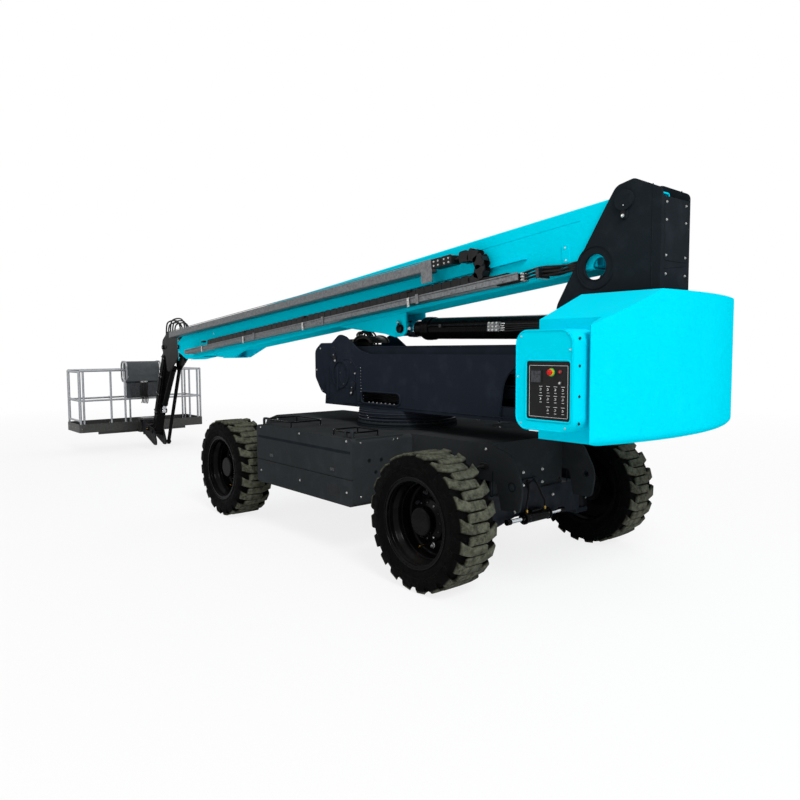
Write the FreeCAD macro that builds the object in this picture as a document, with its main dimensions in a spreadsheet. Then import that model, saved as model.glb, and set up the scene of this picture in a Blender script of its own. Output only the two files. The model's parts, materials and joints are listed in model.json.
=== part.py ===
import FreeCAD, Part
import math
import os

import Sketcher

# An articulated boom lift with a telescopic main boom.
# +X runs from the counterweight to the platform, +Y is the machine's left, +Z is up and the ground is Z = 0.
# Every sub-part is drawn with X counted from the middle of the wheelbase, and its Placement moves it by
# chassis_centre_x, so that the origin lies under the middle of the stowed machine.
# Lengths are millimetres and angles are degrees.

SIZES = {
    # place of the chassis
    "chassis_centre_x": -2553,
    "wheelbase": 3250,
    "overall_width": 2490,
    # wheels
    "tyre_diameter": 1060,
    "tyre_width": 385,
    "tyre_bead_width": 314,
    "tyre_wall_height": 105,
    "tread_shoulder": 32,
    "lug_depth": 33,
    "lug_width": 67,
    "lug_groove": 16,
    "lug_foot_width": 90,
    "lug_sweep": 47,
    "lug_knee": 118,
    "lug_length": 288,
    "lug_bevel": 20,
    "lug_toe_rise": 12,
    "rim_seat_radius": 330,
    "rim_seat_gap": 0.5,
    "rim_flange_radius": 350,
    "rim_seat_width": 330,
    "rim_flange_gauge": 10,
    "rim_gauge": 12,
    "rim_well": 26,
    "rim_disc_inset": 50,
    "rim_disc_gauge": 20,
    "hub_radius": 165,
    "hub_cap_radius": 110,
    "hub_reach": 110,
    # steering knuckles
    "kingpin_inset": 252.5,
    "kingpin_radius": 35,
    "kingpin_length": 410,
    "knuckle_radius": 85,
    "knuckle_height": 310,
    "gearbox_radius": 140,
    "gearbox_neck": 105,
    "gearbox_flange": 24,
    "hub_gap": 7.5,
    "spindle_radius": 50,
    # axles
    "axle_depth": 200,
    "axle_web_inset": 160,
    "axle_arch": 210,
    "axle_foot": 60,
    "axle_arch_half_width": 200,
    "pivot_plate_gauge": 22,
    "pivot_plate_half_width": 110,
    "pivot_height": 670,
    "pivot_radius": 38,
    "yoke_web": 50,
    "yoke_reach": 65,
    "yoke_ear_gauge": 40,
    "yoke_gap": 5,
    # chassis frame
    "frame_half_width": 480,
    "frame_plate": 20,
    "frame_overhang": 75,
    "frame_bottom": 450,
    "frame_top_over_axle": 425,
    "deck_plate": 15,
    "notch_half_length": 190,
    "notch_rise": 125,
    "nose_reach": 350,
    "nose_bottom": 90,
    "sump_half_length": 600,
    "sump_half_width": 250,
    "tie_down_radius": 30,
    "tie_down_inset": 100,
    "tie_down_height": 750,
    "pedestal_radius": 500,
    "pedestal_bore": 380,
    "pedestal_height": 60,
    # power boxes on both sides of the chassis
    "box_front_gap": 170,
    "box_rear_gap": 345,
    "box_bottom": 480,
    "box_depth": 670,
    "box_wall": 14,
    "box_corner": 40,
    "box_groove_height": 710,
    "box_groove": 8,
    "power_block_length": 900,
    "power_block_depth": 300,
    "power_block_height": 350,
    "handle_length": 110,
    "handle_height": 75,
    "handle_gauge": 20,
    # turntable
    "slew_x": -120,
    "slew_gap": 6,
    "slew_ring_radius": 490,
    "slew_ring_groove": 22,
    "turntable_bottom": 1240,
    "base_plate": 30,
    "side_plate": 20,
    "turntable_side_gap": 80,
    "turntable_nose": 180,
    "side_plate_foot": 600,
    "side_plate_drop": 20,
    "peak_back": 120,
    "peak_rise": 190,
    "arm_depth": 80,
    "arm_reach": 170,
    "rib_gauge": 14,
    "rib_height": 350,
    "rib_bottom": 1300,
    "access_rear": -430,
    "access_front": 190,
    "access_bottom": 1270,
    "access_top": 1405,
    "cover_radius": 150,
    "cover_back": 120,
    "cover_drop": 230,
    "cover_gauge": 12,
    "tail_beam_height": 110,
    "tail_beam_width": 110,
    "cap_reach": 300,
    "cap_half_width": 280,
    "cap_wall": 8,
    # counterweight
    "weight_left": 980,
    "weight_right": 1120,
    "weight_bottom": 1210,
    "weight_top": 2215,
    "weight_left_top": 1950,
    "weight_shoulder": 330,
    "weight_side_gap": 70,
    "weight_wall": 80,
    "weight_clearance": 40,
    "weight_corner": 70,
    "weight_edge": 60,
        "control_box_length": 460,
    "box_to_weight": 30,
    "control_box_bottom": 1300,
    "control_box_top": 1950,
    "control_box_reach": 60,
    "control_box_depth": 240,
    "control_box_corner": 95,
    "control_box_wall": 16,
    "control_panel_rim": 45,
    "control_panel_bottom": 60,
    "control_panel_top": 195,
    "control_panel_recess": 10,
    # riser
    "riser_pin_x": 670,
    "riser_pin_z": 1800,
    "riser_length": 2950,
    "riser_side_gap": 44,
    "riser_plate": 16,
    "riser_above": 60,
    "riser_below": 180,
    "riser_end": 90,
    "riser_pin_radius": 45,
    "link_pin_dx": -340,
    "link_pin_dz": -345,
    "link_side_gap": 20,
    "link_bar": 35,
    "link_half_height": 45,
    "link_end": 60,
    "link_pin_radius": 30,
    "pin_clearance": 0.05,
    "pin_boss": 40,
    "pin_end": 20,
    "keeper_gauge": 10,
    # riser cylinder
    "riser_jack_foot_dx": -570,
    "riser_jack_foot_rise": 110,
    "riser_jack_eye_dx": -2420,
    "riser_jack_eye_dz": -240,
    "riser_jack_barrel_radius": 70,
    "riser_jack_rod_radius": 40,
    "riser_jack_stub": 200,
    "jack_lug_gap": 15,
    "jack_lug": 18,
    "jack_pin_radius": 30,
    "jack_side_gap": 5,
    # upright
    "upright_side_gap": 20,
    "upright_plate": 20,
    "upright_back": 700,
    "upright_front": 160,
    "upright_crown": 140,
    "upright_foot": 50,
    "upright_ring_radius": 160,
    "upright_ring_gauge": 6,
    "upright_window_radius": 95,
    "upright_window_dx": 235,
    "upright_window_drop": 440,
    # main boom
    "boom_pin_dx": -420,
    "boom_pin_dz": 1060,
    "boom_slope": 5.7,
    "boom_pin_radius": 50,
    "boom_cap_radius": 72,
    "boom_half_width": 150,
    "boom_above": 55,
    "boom_below": 425,
    "boom_wall": 12,
    "boom_corner": 18,
    "boom_length": 6830,
    "boom_tail": 150,
    "boom_collar": 14,
    "boom_collar_length": 60,
    "section_gap": 10,
    "mid_reach": 870,
    "fly_reach": 260,
    "mid_wall": 10,
    "fly_wall": 8,
    "mid_rear": 300,
    "fly_rear": 400,
    "hook_length": 450,
    "hook_gauge": 12,
    "boom_bracket_length": 1060,
    "boom_bracket_drop": 95,
    "boom_ledge": 25,
    "boom_ledge_drop": 225,
    # boom cylinder
    "boom_jack_foot_dx": 90,
    "boom_jack_foot_dz": 200,
    "boom_jack_eye_along": 2590,
    "boom_jack_eye_below": 575,
    "boom_jack_barrel_radius": 110,
    "boom_jack_rod_radius": 65,
    "boom_jack_stub": 250,
    "boom_jack_pin_radius": 40,
    "boom_lug_inset": 18,
    "boom_lug": 20,
    # cable carrier
    "tray_reach": 130,
    "tray_gauge": 5,
    "upper_tray_rear": 1990,
    "upper_tray_length": 6160,
    "upper_tray_top": -43,
    "upper_tray_height": 92,
    "upper_tray_rise": 1.0,
    "upper_tray_gap": 8,
    "lower_tray_rear": 930,
    "lower_tray_length": 6650,
    "lower_tray_top": -335,
    "lower_tray_height": 66,
    "lower_tray_rise": 0.5,
    "tray_bracket_gauge": 8,
    "tray_bracket_length": 150,
    "tray_bracket_height": 230,
    "chain_height": 135,
    "chain_pitch": 140,
    "chain_link": 126,
    "chain_links": 38,
    "chain_rear": 1500,
    # nose and jib
    "nose_reach_along": 227,
    "nose_drop": 168,
    "nose_pin_radius": 35,
    "nose_side_gap": 5,
    "jib_pin_dx": 690,
    "jib_pin_radius": 35,
    "nose_plate": 20,
    "jib_length": 1630,
    "jib_slope": 66.1,
    "jib_side_gap": 5,
    "jib_half_depth": 75,
    "jib_wall": 10,
    "jib_eye_radius": 70,
    "jib_link_dx": -120,
    "jib_link_dz": -190,
    "jib_link_y": -150,
    "jib_link_radius": 30,
    "jib_link_eye_radius": 45,
    "jib_link_half_width": 20,
    "jib_link_pin_radius": 20,
    "jib_jack_foot_dx": -174,
    "jib_jack_foot_dz": -350,
    "jib_jack_eye_along": 1150,
    "jib_jack_eye_off": 130,
    "jib_jack_barrel_radius": 48,
    "jib_jack_rod_radius": 28,
    "jib_jack_stub": 130,
    "jib_jack_half_width": 32,
    "jib_jack_pin_radius": 21,
    "jib_lug": 15,
    # platform
    "rotator_reach": 430,
    "rotator_radius": 100,
    "rotator_drop": 90,
    "rotator_rise": 170,
    "rotator_gap": 5,
    "platform_reach": 196,
    "platform_depth": 800,
    "platform_half_width": 1135,
    "platform_bottom": 380,
    "platform_floor": 40,
    "platform_corner": 45,
    "toe_board": 150,
    "toe_gauge": 4,
    "rail_top": 1490,
    "rail_radius": 19,
    "rail_gap": 7,
    "mid_rail": 945,
    "rear_post_left": 580,
    "rear_post_right": 890,
    "floor_beam_half_length": 800,
    "floor_beam": 50,
    "gate_gap": 16,
    "gate_lift": 40,
    "console_left": 310,
    "console_right": 270,
    "console_post_gap": 22,
    "console_bottom": 1260,
    "console_top": 1630,
    "console_depth": 260,
    "console_lead": 86,
    "console_crown": 110,
    "console_panel_gauge": 16,
    "guard_loop_gauge": 24,
    "guard_loop_reach": 20,
}


class Size:
    """A number together with the sheet expression that gives it."""

    def __init__(self, number, text):
        self.number = float(number)
        self.text = text

    def __float__(self):
        return self.number

    def __add__(self, other):
        other = as_size(other)
        return Size(self.number + other.number, f"({self.text} + {other.text})")

    def __radd__(self, other):
        return as_size(other) + self

    def __sub__(self, other):
        other = as_size(other)
        return Size(self.number - other.number, f"({self.text} - {other.text})")

    def __rsub__(self, other):
        return as_size(other) - self

    def __mul__(self, other):
        other = as_size(other)
        return Size(self.number * other.number, f"({self.text} * {other.text})")

    def __rmul__(self, other):
        return as_size(other) * self

    def __truediv__(self, other):
        other = as_size(other)
        return Size(self.number / other.number, f"({self.text} / {other.text})")

    def __neg__(self):
        return Size(-self.number, f"(0 - {self.text})")


def as_size(value):
    if isinstance(value, Size):
        return value
    return Size(value, repr(float(value)))


def cosine(angle):
    angle = as_size(angle)
    return Size(math.cos(math.radians(angle.number)), f"cos({angle.text})")


def sine(angle):
    angle = as_size(angle)
    return Size(math.sin(math.radians(angle.number)), f"sin({angle.text})")


def root(value):
    return Size(math.sqrt(value.number), f"sqrt({value.text})")


def distance(a, b):
    across = b[0] - a[0]
    up = b[1] - a[1]
    return root(across * across + up * up)


def fall(a, b):
    """Degrees by which the line from a to b falls below the +X direction."""
    down = as_size(a[1] - b[1])
    across = as_size(b[0] - a[0])
    number = math.degrees(math.atan2(down.number, across.number))
    return Size(number, f"(atan2({down.text}; {across.text}) / 1 deg)")


doc = FreeCAD.newDocument("BoomLift")
sheet = doc.addObject("Spreadsheet::Sheet", "Sizes")
pieces = []
rows = []


def write_cell(alias, content):
    rows.append(alias)
    row = len(rows)
    sheet.set(f"A{row}", alias)
    sheet.set(f"B{row}", content)
    sheet.setAlias(f"B{row}", alias)


def keep(alias, size):
    """A worked-out size with a cell of its own in the sheet."""
    write_cell(alias, "=" + size.text.replace("Sizes.", ""))
    return Size(size.number, f"Sizes.{alias}")


def keep_point(alias, point):
    return keep(alias + "_x", point[0]), keep(alias + "_z", point[1])


class Names:
    """The sheet's cells as attributes, one Size for each alias."""


d = Names()
for alias, number in SIZES.items():
    write_cell(alias, str(number))
    setattr(d, alias, Size(number, f"Sizes.{alias}"))


class Circle:
    def __init__(self, u, v, radius):
        self.u = as_size(u)
        self.v = as_size(v)
        self.radius = as_size(radius)


def rectangle(u_low, v_low, u_high, v_high, radius=None):
    """A rectangle, with rounded corners where a radius is given."""
    corners = [(u_low, v_low), (u_high, v_low), (u_high, v_high), (u_low, v_high)]
    if radius is None:
        return corners
    return [(u, v, radius) for u, v in corners]


def direction(start, end):
    length = math.dist(start, end)
    return (end[0] - start[0]) / length, (end[1] - start[1]) / length


class Corner:
    """Where a rounded corner's arc starts, ends and has its centre, and whether it turns left."""

    def __init__(self, before, here, after, radius):
        back = direction(here, before)
        ahead = direction(here, after)
        lean = back[0] * ahead[0] + back[1] * ahead[1]
        inset = radius * math.sqrt((1 + lean) / (1 - lean))
        reach = radius / math.sqrt(1 - lean ** 2)
        self.start = (here[0] + back[0] * inset, here[1] + back[1] * inset)
        self.end = (here[0] + ahead[0] * inset, here[1] + ahead[1] * inset)
        self.centre = (here[0] + (back[0] + ahead[0]) * reach, here[1] + (back[1] + ahead[1]) * reach)
        self.left_turn = back[1] * ahead[0] > back[0] * ahead[1]


PLANES = {"XY": ("XY_Plane", 1), "XZ": ("XZ_Plane", -1), "YZ": ("YZ_Plane", 1)}


class Piece:
    """A PartDesign body: its sketches lie parallel to its origin planes and follow the sheet."""

    def __init__(self, label, base=(0, 0, 0), tilt=None, axis=(0, 1, 0)):
        self.body = doc.addObject("PartDesign::Body", label)
        self.body.Label = label
        self.count = 0
        place(self.body, base, tilt, axis)
        pieces.append(self)

    def bind(self, thing, name, size):
        thing.setExpression(name, size.text)

    def name(self, kind):
        self.count += 1
        return f"{self.body.Name}_{kind}{self.count}"

    def sketch(self, plane, at, loops):
        role, sign = PLANES[plane]
        support = [each for each in self.body.Origin.OriginFeatures if each.Role == role][0]
        sketch = self.body.newObject("Sketcher::SketchObject", self.name("sketch"))
        sketch.AttachmentSupport = [(support, "")]
        sketch.MapMode = "FlatFace"
        offset = as_size(at) * sign
        sketch.AttachmentOffset = FreeCAD.Placement(FreeCAD.Vector(0, 0, offset.number), FreeCAD.Rotation())
        self.bind(sketch, "AttachmentOffset.Base.z", offset)
        for loop in loops:
            if isinstance(loop, Circle):
                self.draw_circle(sketch, loop)
            else:
                self.draw_outline(sketch, loop)
        return sketch

    def fix(self, sketch, kind, geometry, size):
        key = sketch.addConstraint(Sketcher.Constraint(kind, -1, 1, geometry[0], geometry[1], size.number))
        sketch.setExpression(f"Constraints[{key}]", size.text)

    def fix_point(self, sketch, geometry, point):
        self.fix(sketch, "DistanceX", geometry, point[0])
        self.fix(sketch, "DistanceY", geometry, point[1])

    def fix_radius(self, sketch, index, radius):
        key = sketch.addConstraint(Sketcher.Constraint("Radius", index, radius.number))
        sketch.setExpression(f"Constraints[{key}]", radius.text)

    def draw_circle(self, sketch, circle):
        centre = FreeCAD.Vector(circle.u.number, circle.v.number, 0)
        index = sketch.addGeometry(Part.Circle(centre, FreeCAD.Vector(0, 0, 1), circle.radius.number), False)
        self.fix_radius(sketch, index, circle.radius)
        self.fix_point(sketch, (index, 3), (circle.u, circle.v))

    def draw_outline(self, sketch, points):
        """Straight edges between the points, with an arc where a point has a radius as its third value."""
        spots = [(as_size(point[0]), as_size(point[1])) for point in points]
        plain = [(u.number, v.number) for u, v in spots]
        total = len(points)
        corners = {}
        for i in range(total):
            if len(points[i]) > 2:
                radius = as_size(points[i][2]).number
                corners[i] = Corner(plain[i - 1], plain[i], plain[(i + 1) % total], radius)
        first = sketch.GeometryCount
        for i in range(total):
            after = (i + 1) % total
            start = corners[i].end if i in corners else plain[i]
            end = corners[after].start if after in corners else plain[after]
            sketch.addGeometry(Part.LineSegment(FreeCAD.Vector(*start, 0), FreeCAD.Vector(*end, 0)), False)
        for i in range(total):
            edges = (first + (i - 1) % total, first + i)
            if i in corners:
                self.draw_arc(sketch, corners[i], edges, spots[i], as_size(points[i][2]))
            else:
                sketch.addConstraint(Sketcher.Constraint("Coincident", edges[0], 2, edges[1], 1))
                self.fix_point(sketch, (edges[1], 1), spots[i])

    def draw_arc(self, sketch, corner, edges, spot, radius):
        """An arc tangent to two edges, which both point at the sharp corner it rounds."""
        angles = [math.atan2(point[1] - corner.centre[1], point[0] - corner.centre[0])
                  for point in (corner.start, corner.end)]
        ends = [1, 2]
        if not corner.left_turn:
            angles.reverse()
            ends.reverse()
        circle = Part.Circle(FreeCAD.Vector(*corner.centre, 0), FreeCAD.Vector(0, 0, 1), radius.number)
        arc = sketch.addGeometry(Part.ArcOfCircle(circle, angles[0], angles[1]), False)
        tip = sketch.addGeometry(Part.Point(FreeCAD.Vector(spot[0].number, spot[1].number, 0)), True)
        sketch.addConstraint(Sketcher.Constraint("Tangent", edges[0], 2, arc, ends[0]))
        sketch.addConstraint(Sketcher.Constraint("Tangent", edges[1], 1, arc, ends[1]))
        for edge in edges:
            sketch.addConstraint(Sketcher.Constraint("PointOnObject", tip, 1, edge))
        self.fix_point(sketch, (tip, 1), spot)
        self.fix_radius(sketch, arc, radius)

    def pad(self, plane, low, high, *loops):
        """Material between two heights over a plane, low below high along the plane's world axis."""
        sign = PLANES[plane][1]
        feature_sketch = self.sketch(plane, low if sign > 0 else high, loops)
        pad = self.body.newObject("PartDesign::Pad", self.name("pad"))
        pad.Profile = feature_sketch
        length = as_size(high) - as_size(low)
        pad.Length = length.number
        self.bind(pad, "Length", length)
        self.body.Tip = pad
        return self

    def cut(self, plane, low, high, *loops):
        """Takes away the material between two heights over a plane."""
        doc.recompute()
        before = self.body.Shape.Volume
        sign = PLANES[plane][1]
        feature_sketch = self.sketch(plane, high if sign > 0 else low, loops)
        pocket = self.body.newObject("PartDesign::Pocket", self.name("pocket"))
        pocket.Profile = feature_sketch
        length = as_size(high) - as_size(low)
        pocket.Length = length.number
        self.bind(pocket, "Length", length)
        self.body.Tip = pocket
        doc.recompute()
        if not self.body.Shape.Volume < before:
            raise RuntimeError(f"{self.body.Label}: a pocket removed nothing")
        return self

    def repeat(self, pitch, count):
        """Copies of the last pad along the body's X axis."""
        tip = self.body.Tip
        axis = [each for each in self.body.Origin.OriginFeatures if each.Role == "X_Axis"][0]
        row = self.body.newObject("PartDesign::LinearPattern", self.name("row"))
        row.Originals = [tip]
        row.Direction = (axis, [""])
        length = as_size(pitch) * (as_size(count) - 1)
        row.Length = length.number
        self.bind(row, "Length", length)
        row.Occurrences = round(as_size(count).number)
        self.bind(row, "Occurrences", as_size(count))
        self.body.Tip = row
        return self

    def turn(self, *loops):
        """A full revolution of loops drawn in the body's XZ plane about its Z axis."""
        profile = self.sketch("XZ", 0, loops)
        revolution = self.body.newObject("PartDesign::Revolution", self.name("turn"))
        revolution.Profile = profile
        revolution.ReferenceAxis = (profile, ["V_Axis"])
        revolution.Angle = 360
        self.body.Tip = revolution
        return self

    def fillet(self, radius, chosen):
        """Rounds the edges whose bounding box the test accepts."""
        doc.recompute()
        tip = self.body.Tip
        names = [f"Edge{i}" for i, edge in enumerate(tip.Shape.Edges, start=1) if chosen(edge.BoundBox)]
        if not names:
            raise RuntimeError(f"{self.body.Label}: no edge to round")
        fillet = self.body.newObject("PartDesign::Fillet", self.name("fillet"))
        fillet.Base = (tip, names)
        fillet.Radius = as_size(radius).number
        self.bind(fillet, "Radius", as_size(radius))
        self.body.Tip = fillet
        return self

    def both_sides(self, inner, outer, *loops):
        """The same upright plate on the left and on the right."""
        self.pad("XZ", inner, outer, *loops)
        self.pad("XZ", -as_size(outer), -as_size(inner), *loops)
        return self

    def cut_both_sides(self, inner, outer, *loops):
        self.cut("XZ", inner, outer, *loops)
        self.cut("XZ", -as_size(outer), -as_size(inner), *loops)
        return self


class Block:
    """A sub-part whose shape is made face by face."""

    def __init__(self, label, shape, base):
        self.body = doc.addObject("Part::Feature", label)
        self.body.Label = label
        self.body.Shape = shape
        place(self.body, base, None, (0, 1, 0))
        pieces.append(self)


def place(thing, base, tilt, axis):
    x, y, z = (as_size(value) for value in base)
    x = x + d.chassis_centre_x
    angle = as_size(0 if tilt is None else tilt)
    turn = FreeCAD.Rotation(FreeCAD.Vector(*axis), angle.number)
    thing.Placement = FreeCAD.Placement(FreeCAD.Vector(x.number, y.number, z.number), turn)
    thing.setExpression("Placement.Base.x", x.text)
    thing.setExpression("Placement.Base.y", y.text)
    thing.setExpression("Placement.Base.z", z.text)
    if tilt is not None:
        thing.setExpression("Placement.Rotation.Angle", angle.text)


# ---- places shared by several sub-parts ----
axle_height = keep("axle_height", d.tyre_diameter / 2)
wheel_y = keep("wheel_y", (d.overall_width - d.tyre_width) / 2)
kingpin_y = keep("kingpin_y", wheel_y - d.kingpin_inset)
front_axle_x = keep("front_axle_x", d.wheelbase / 2)
rear_axle_x = keep("rear_axle_x", -d.wheelbase / 2)
frame_core = keep("frame_core", front_axle_x + d.frame_overhang)
frame_inner = keep("frame_inner", d.frame_half_width - d.frame_plate)
axle_top = keep("axle_top", axle_height + d.knuckle_height / 2 - d.yoke_ear_gauge - d.yoke_gap)
deck_top = keep("deck_top", axle_top + d.frame_top_over_axle)
box_outer = keep("box_outer", d.frame_half_width + d.box_depth)
box_front = keep("box_front", front_axle_x - axle_height - d.box_front_gap)
box_rear = keep("box_rear", rear_axle_x + axle_height + d.box_rear_gap)
slew_ring_bottom = keep("slew_ring_bottom", deck_top + d.pedestal_height + d.slew_gap)
turntable_floor = keep("turntable_floor", d.turntable_bottom + d.base_plate)

# widths, from the boom outwards
upright_inner = keep("upright_inner", d.boom_half_width + d.upright_side_gap)
upright_half = keep("upright_half", upright_inner + d.upright_plate)
riser_inner = keep("riser_inner", upright_half + d.riser_side_gap)
riser_half = keep("riser_half", riser_inner + d.riser_plate)
turntable_inner = keep("turntable_inner", riser_half + d.turntable_side_gap)
turntable_half = keep("turntable_half", turntable_inner + d.side_plate)
weight_slot = keep("weight_slot", riser_half + d.weight_side_gap)
link_outer = keep("link_outer", upright_inner - d.link_side_gap)
link_inner = keep("link_inner", link_outer - d.link_bar)
jack_lug_outer = keep("jack_lug_outer", link_inner - d.jack_lug_gap)
jack_lug_inner = keep("jack_lug_inner", jack_lug_outer - d.jack_lug)
boom_lug_outer = keep("boom_lug_outer", d.boom_half_width - d.boom_lug_inset)
boom_lug_inner = keep("boom_lug_inner", boom_lug_outer - d.boom_lug)
mid_inset = keep("mid_inset", d.boom_wall + d.section_gap)
fly_inset = keep("fly_inset", mid_inset + d.mid_wall + d.section_gap)
fly_half = keep("fly_half", d.boom_half_width - fly_inset)
nose_half = keep("nose_half", fly_half - d.fly_wall - d.nose_side_gap)
jib_half = keep("jib_half", nose_half - d.nose_plate - d.jib_side_gap)

riser_pin = (d.riser_pin_x, d.riser_pin_z)
upright_pin = keep_point("upright_pin", (d.riser_pin_x - d.riser_length, d.riser_pin_z))
link_pin = keep_point("link_pin", (riser_pin[0] + d.link_pin_dx, riser_pin[1] + d.link_pin_dz))
upright_link_pin = keep_point("upright_link_pin", (upright_pin[0] + d.link_pin_dx,
                                                    upright_pin[1] + d.link_pin_dz))
riser_jack_foot = keep_point("riser_jack_foot", (riser_pin[0] + d.riser_jack_foot_dx,
                                                  turntable_floor + d.riser_jack_foot_rise))
riser_jack_eye = keep_point("riser_jack_eye", (riser_pin[0] + d.riser_jack_eye_dx,
                                                riser_pin[1] + d.riser_jack_eye_dz))
upright_back = keep("upright_back_x", upright_pin[0] - d.upright_back)
upright_front = keep("upright_front_x", upright_pin[0] + d.upright_front)
side_plate_rear = keep("side_plate_rear", upright_pin[0] + d.side_plate_foot)
side_plate_top = keep("side_plate_top", riser_pin[1] - d.side_plate_drop)
tail_front = keep("tail_front", upright_pin[0] - d.arm_reach)
turntable_front = keep("turntable_front", riser_pin[0] + d.turntable_nose)
weight_slot_rear = keep("weight_slot_rear", upright_back - d.weight_clearance)
weight_rear = keep("weight_rear", weight_slot_rear - d.weight_wall)
tail_radius = keep("tail_radius", d.slew_x - weight_rear)

boom_pin = keep_point("boom_pin", (upright_pin[0] + d.boom_pin_dx, upright_pin[1] + d.boom_pin_dz))


def on_boom(along, up):
    """Machine X and Z of a place given along and above the main boom's pin line."""
    x = boom_pin[0] + as_size(along) * cosine(d.boom_slope) + as_size(up) * sine(d.boom_slope)
    z = boom_pin[1] - as_size(along) * sine(d.boom_slope) + as_size(up) * cosine(d.boom_slope)
    return x, z


def on_jib(along, off):
    """Machine X and Z of a place given along the jib and below its pin line."""
    x = jib_pin[0] + as_size(along) * cosine(d.jib_slope) - as_size(off) * sine(d.jib_slope)
    z = jib_pin[1] - as_size(along) * sine(d.jib_slope) - as_size(off) * cosine(d.jib_slope)
    return x, z


boom_jack_foot = keep_point("boom_jack_foot", (upright_pin[0] + d.boom_jack_foot_dx,
                                                upright_pin[1] + d.boom_jack_foot_dz))
boom_jack_eye = keep_point("boom_jack_eye", on_boom(d.boom_jack_eye_along, -d.boom_jack_eye_below))
mid_front = keep("mid_front", d.boom_length + d.mid_reach)
fly_front = keep("fly_front", mid_front + d.fly_reach)
nose_along = keep("nose_along", fly_front + d.nose_reach_along)
nose_pin = keep_point("nose_pin", on_boom(nose_along, -d.nose_drop))
jib_pin = keep_point("jib_pin", (nose_pin[0] + d.jib_pin_dx, nose_pin[1]))
jib_foot = keep_point("jib_foot", on_jib(d.jib_length, 0))
jib_link_top = keep_point("jib_link_top", (jib_pin[0] + d.jib_link_dx, jib_pin[1] + d.jib_link_dz))
jib_link_foot = keep_point("jib_link_foot", (jib_foot[0] + d.jib_link_dx, jib_foot[1] + d.jib_link_dz))
jib_jack_foot = keep_point("jib_jack_foot", (jib_pin[0] + d.jib_jack_foot_dx,
                                              jib_pin[1] + d.jib_jack_foot_dz))
jib_jack_eye = keep_point("jib_jack_eye", on_jib(d.jib_jack_eye_along, d.jib_jack_eye_off))
rotator_x = keep("rotator_x", jib_foot[0] + d.rotator_reach)
rotator_bottom = keep("rotator_bottom", jib_foot[1] - d.rotator_drop)
rotator_top = keep("rotator_top", jib_foot[1] + d.rotator_rise)
platform_rear = keep("platform_rear", rotator_x + d.platform_reach)
platform_front = keep("platform_front", platform_rear + d.platform_depth)
floor_top = keep("floor_top", d.platform_bottom + d.platform_floor)
toe_top = keep("toe_top", d.platform_bottom + d.toe_board)
post_radius = keep("post_radius", d.rail_radius - 1)
console_posts = (d.console_left + d.console_post_gap, -d.console_right - d.console_post_gap)
doc.recompute()


def bore(place, radius):
    return Circle(place[0], place[1], radius)


def mirrored(half):
    """An outline that is the same behind the origin as in front of it."""
    return half + [(-point[0], *point[1:]) for point in reversed(half)]


# ---- chassis ----
def make_chassis_frame():
    frame = Piece("chassis_frame")
    plate = d.frame_plate
    under_deck = deck_top - d.deck_plate
    front_notch = front_axle_x - d.notch_half_length
    hull = [(frame_core, axle_top), (front_notch, axle_top), (front_notch, d.frame_bottom)]
    hollow = [(frame_core - plate, axle_top + plate), (front_notch - plate, axle_top + plate),
              (front_notch - plate, d.frame_bottom + plate)]
    frame.pad("XZ", -frame_inner, frame_inner,
              mirrored([(frame_core, deck_top)] + hull),
              mirrored([(frame_core - plate, under_deck)] + hollow))
    frame.cut("XY", d.frame_bottom - 1, d.frame_bottom + plate + 1,
              rectangle(-d.sump_half_length, -d.sump_half_width, d.sump_half_length, d.sump_half_width, 120))
    reach = frame_core + d.nose_reach
    notch_top = axle_top + d.notch_rise
    nose_low = axle_top - d.nose_bottom
    middle = (nose_low + deck_top) / 2
    nose = [
        (frame_core - 10, deck_top), (reach - 130, deck_top - 65, 120), (reach, middle - 40, 260),
        (reach - 40, nose_low, 50), (front_axle_x + 200, nose_low), (front_axle_x + 150, notch_top, 30),
        (front_notch, notch_top, 30), (front_notch, d.frame_bottom),
    ]
    hole_x = reach - d.tie_down_inset
    holes = [Circle(x, d.tie_down_height, d.tie_down_radius) for x in (hole_x, -hole_x)]
    frame.both_sides(frame_inner, d.frame_half_width, mirrored(nose), *holes)
    band = d.pedestal_height / 3
    for level, radius in enumerate((d.pedestal_radius, d.pedestal_radius - 30, d.pedestal_radius)):
        low = deck_top + band * level
        frame.pad("XY", low, low + band, Circle(d.slew_x, 0, radius), Circle(d.slew_x, 0, d.pedestal_bore))


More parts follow.
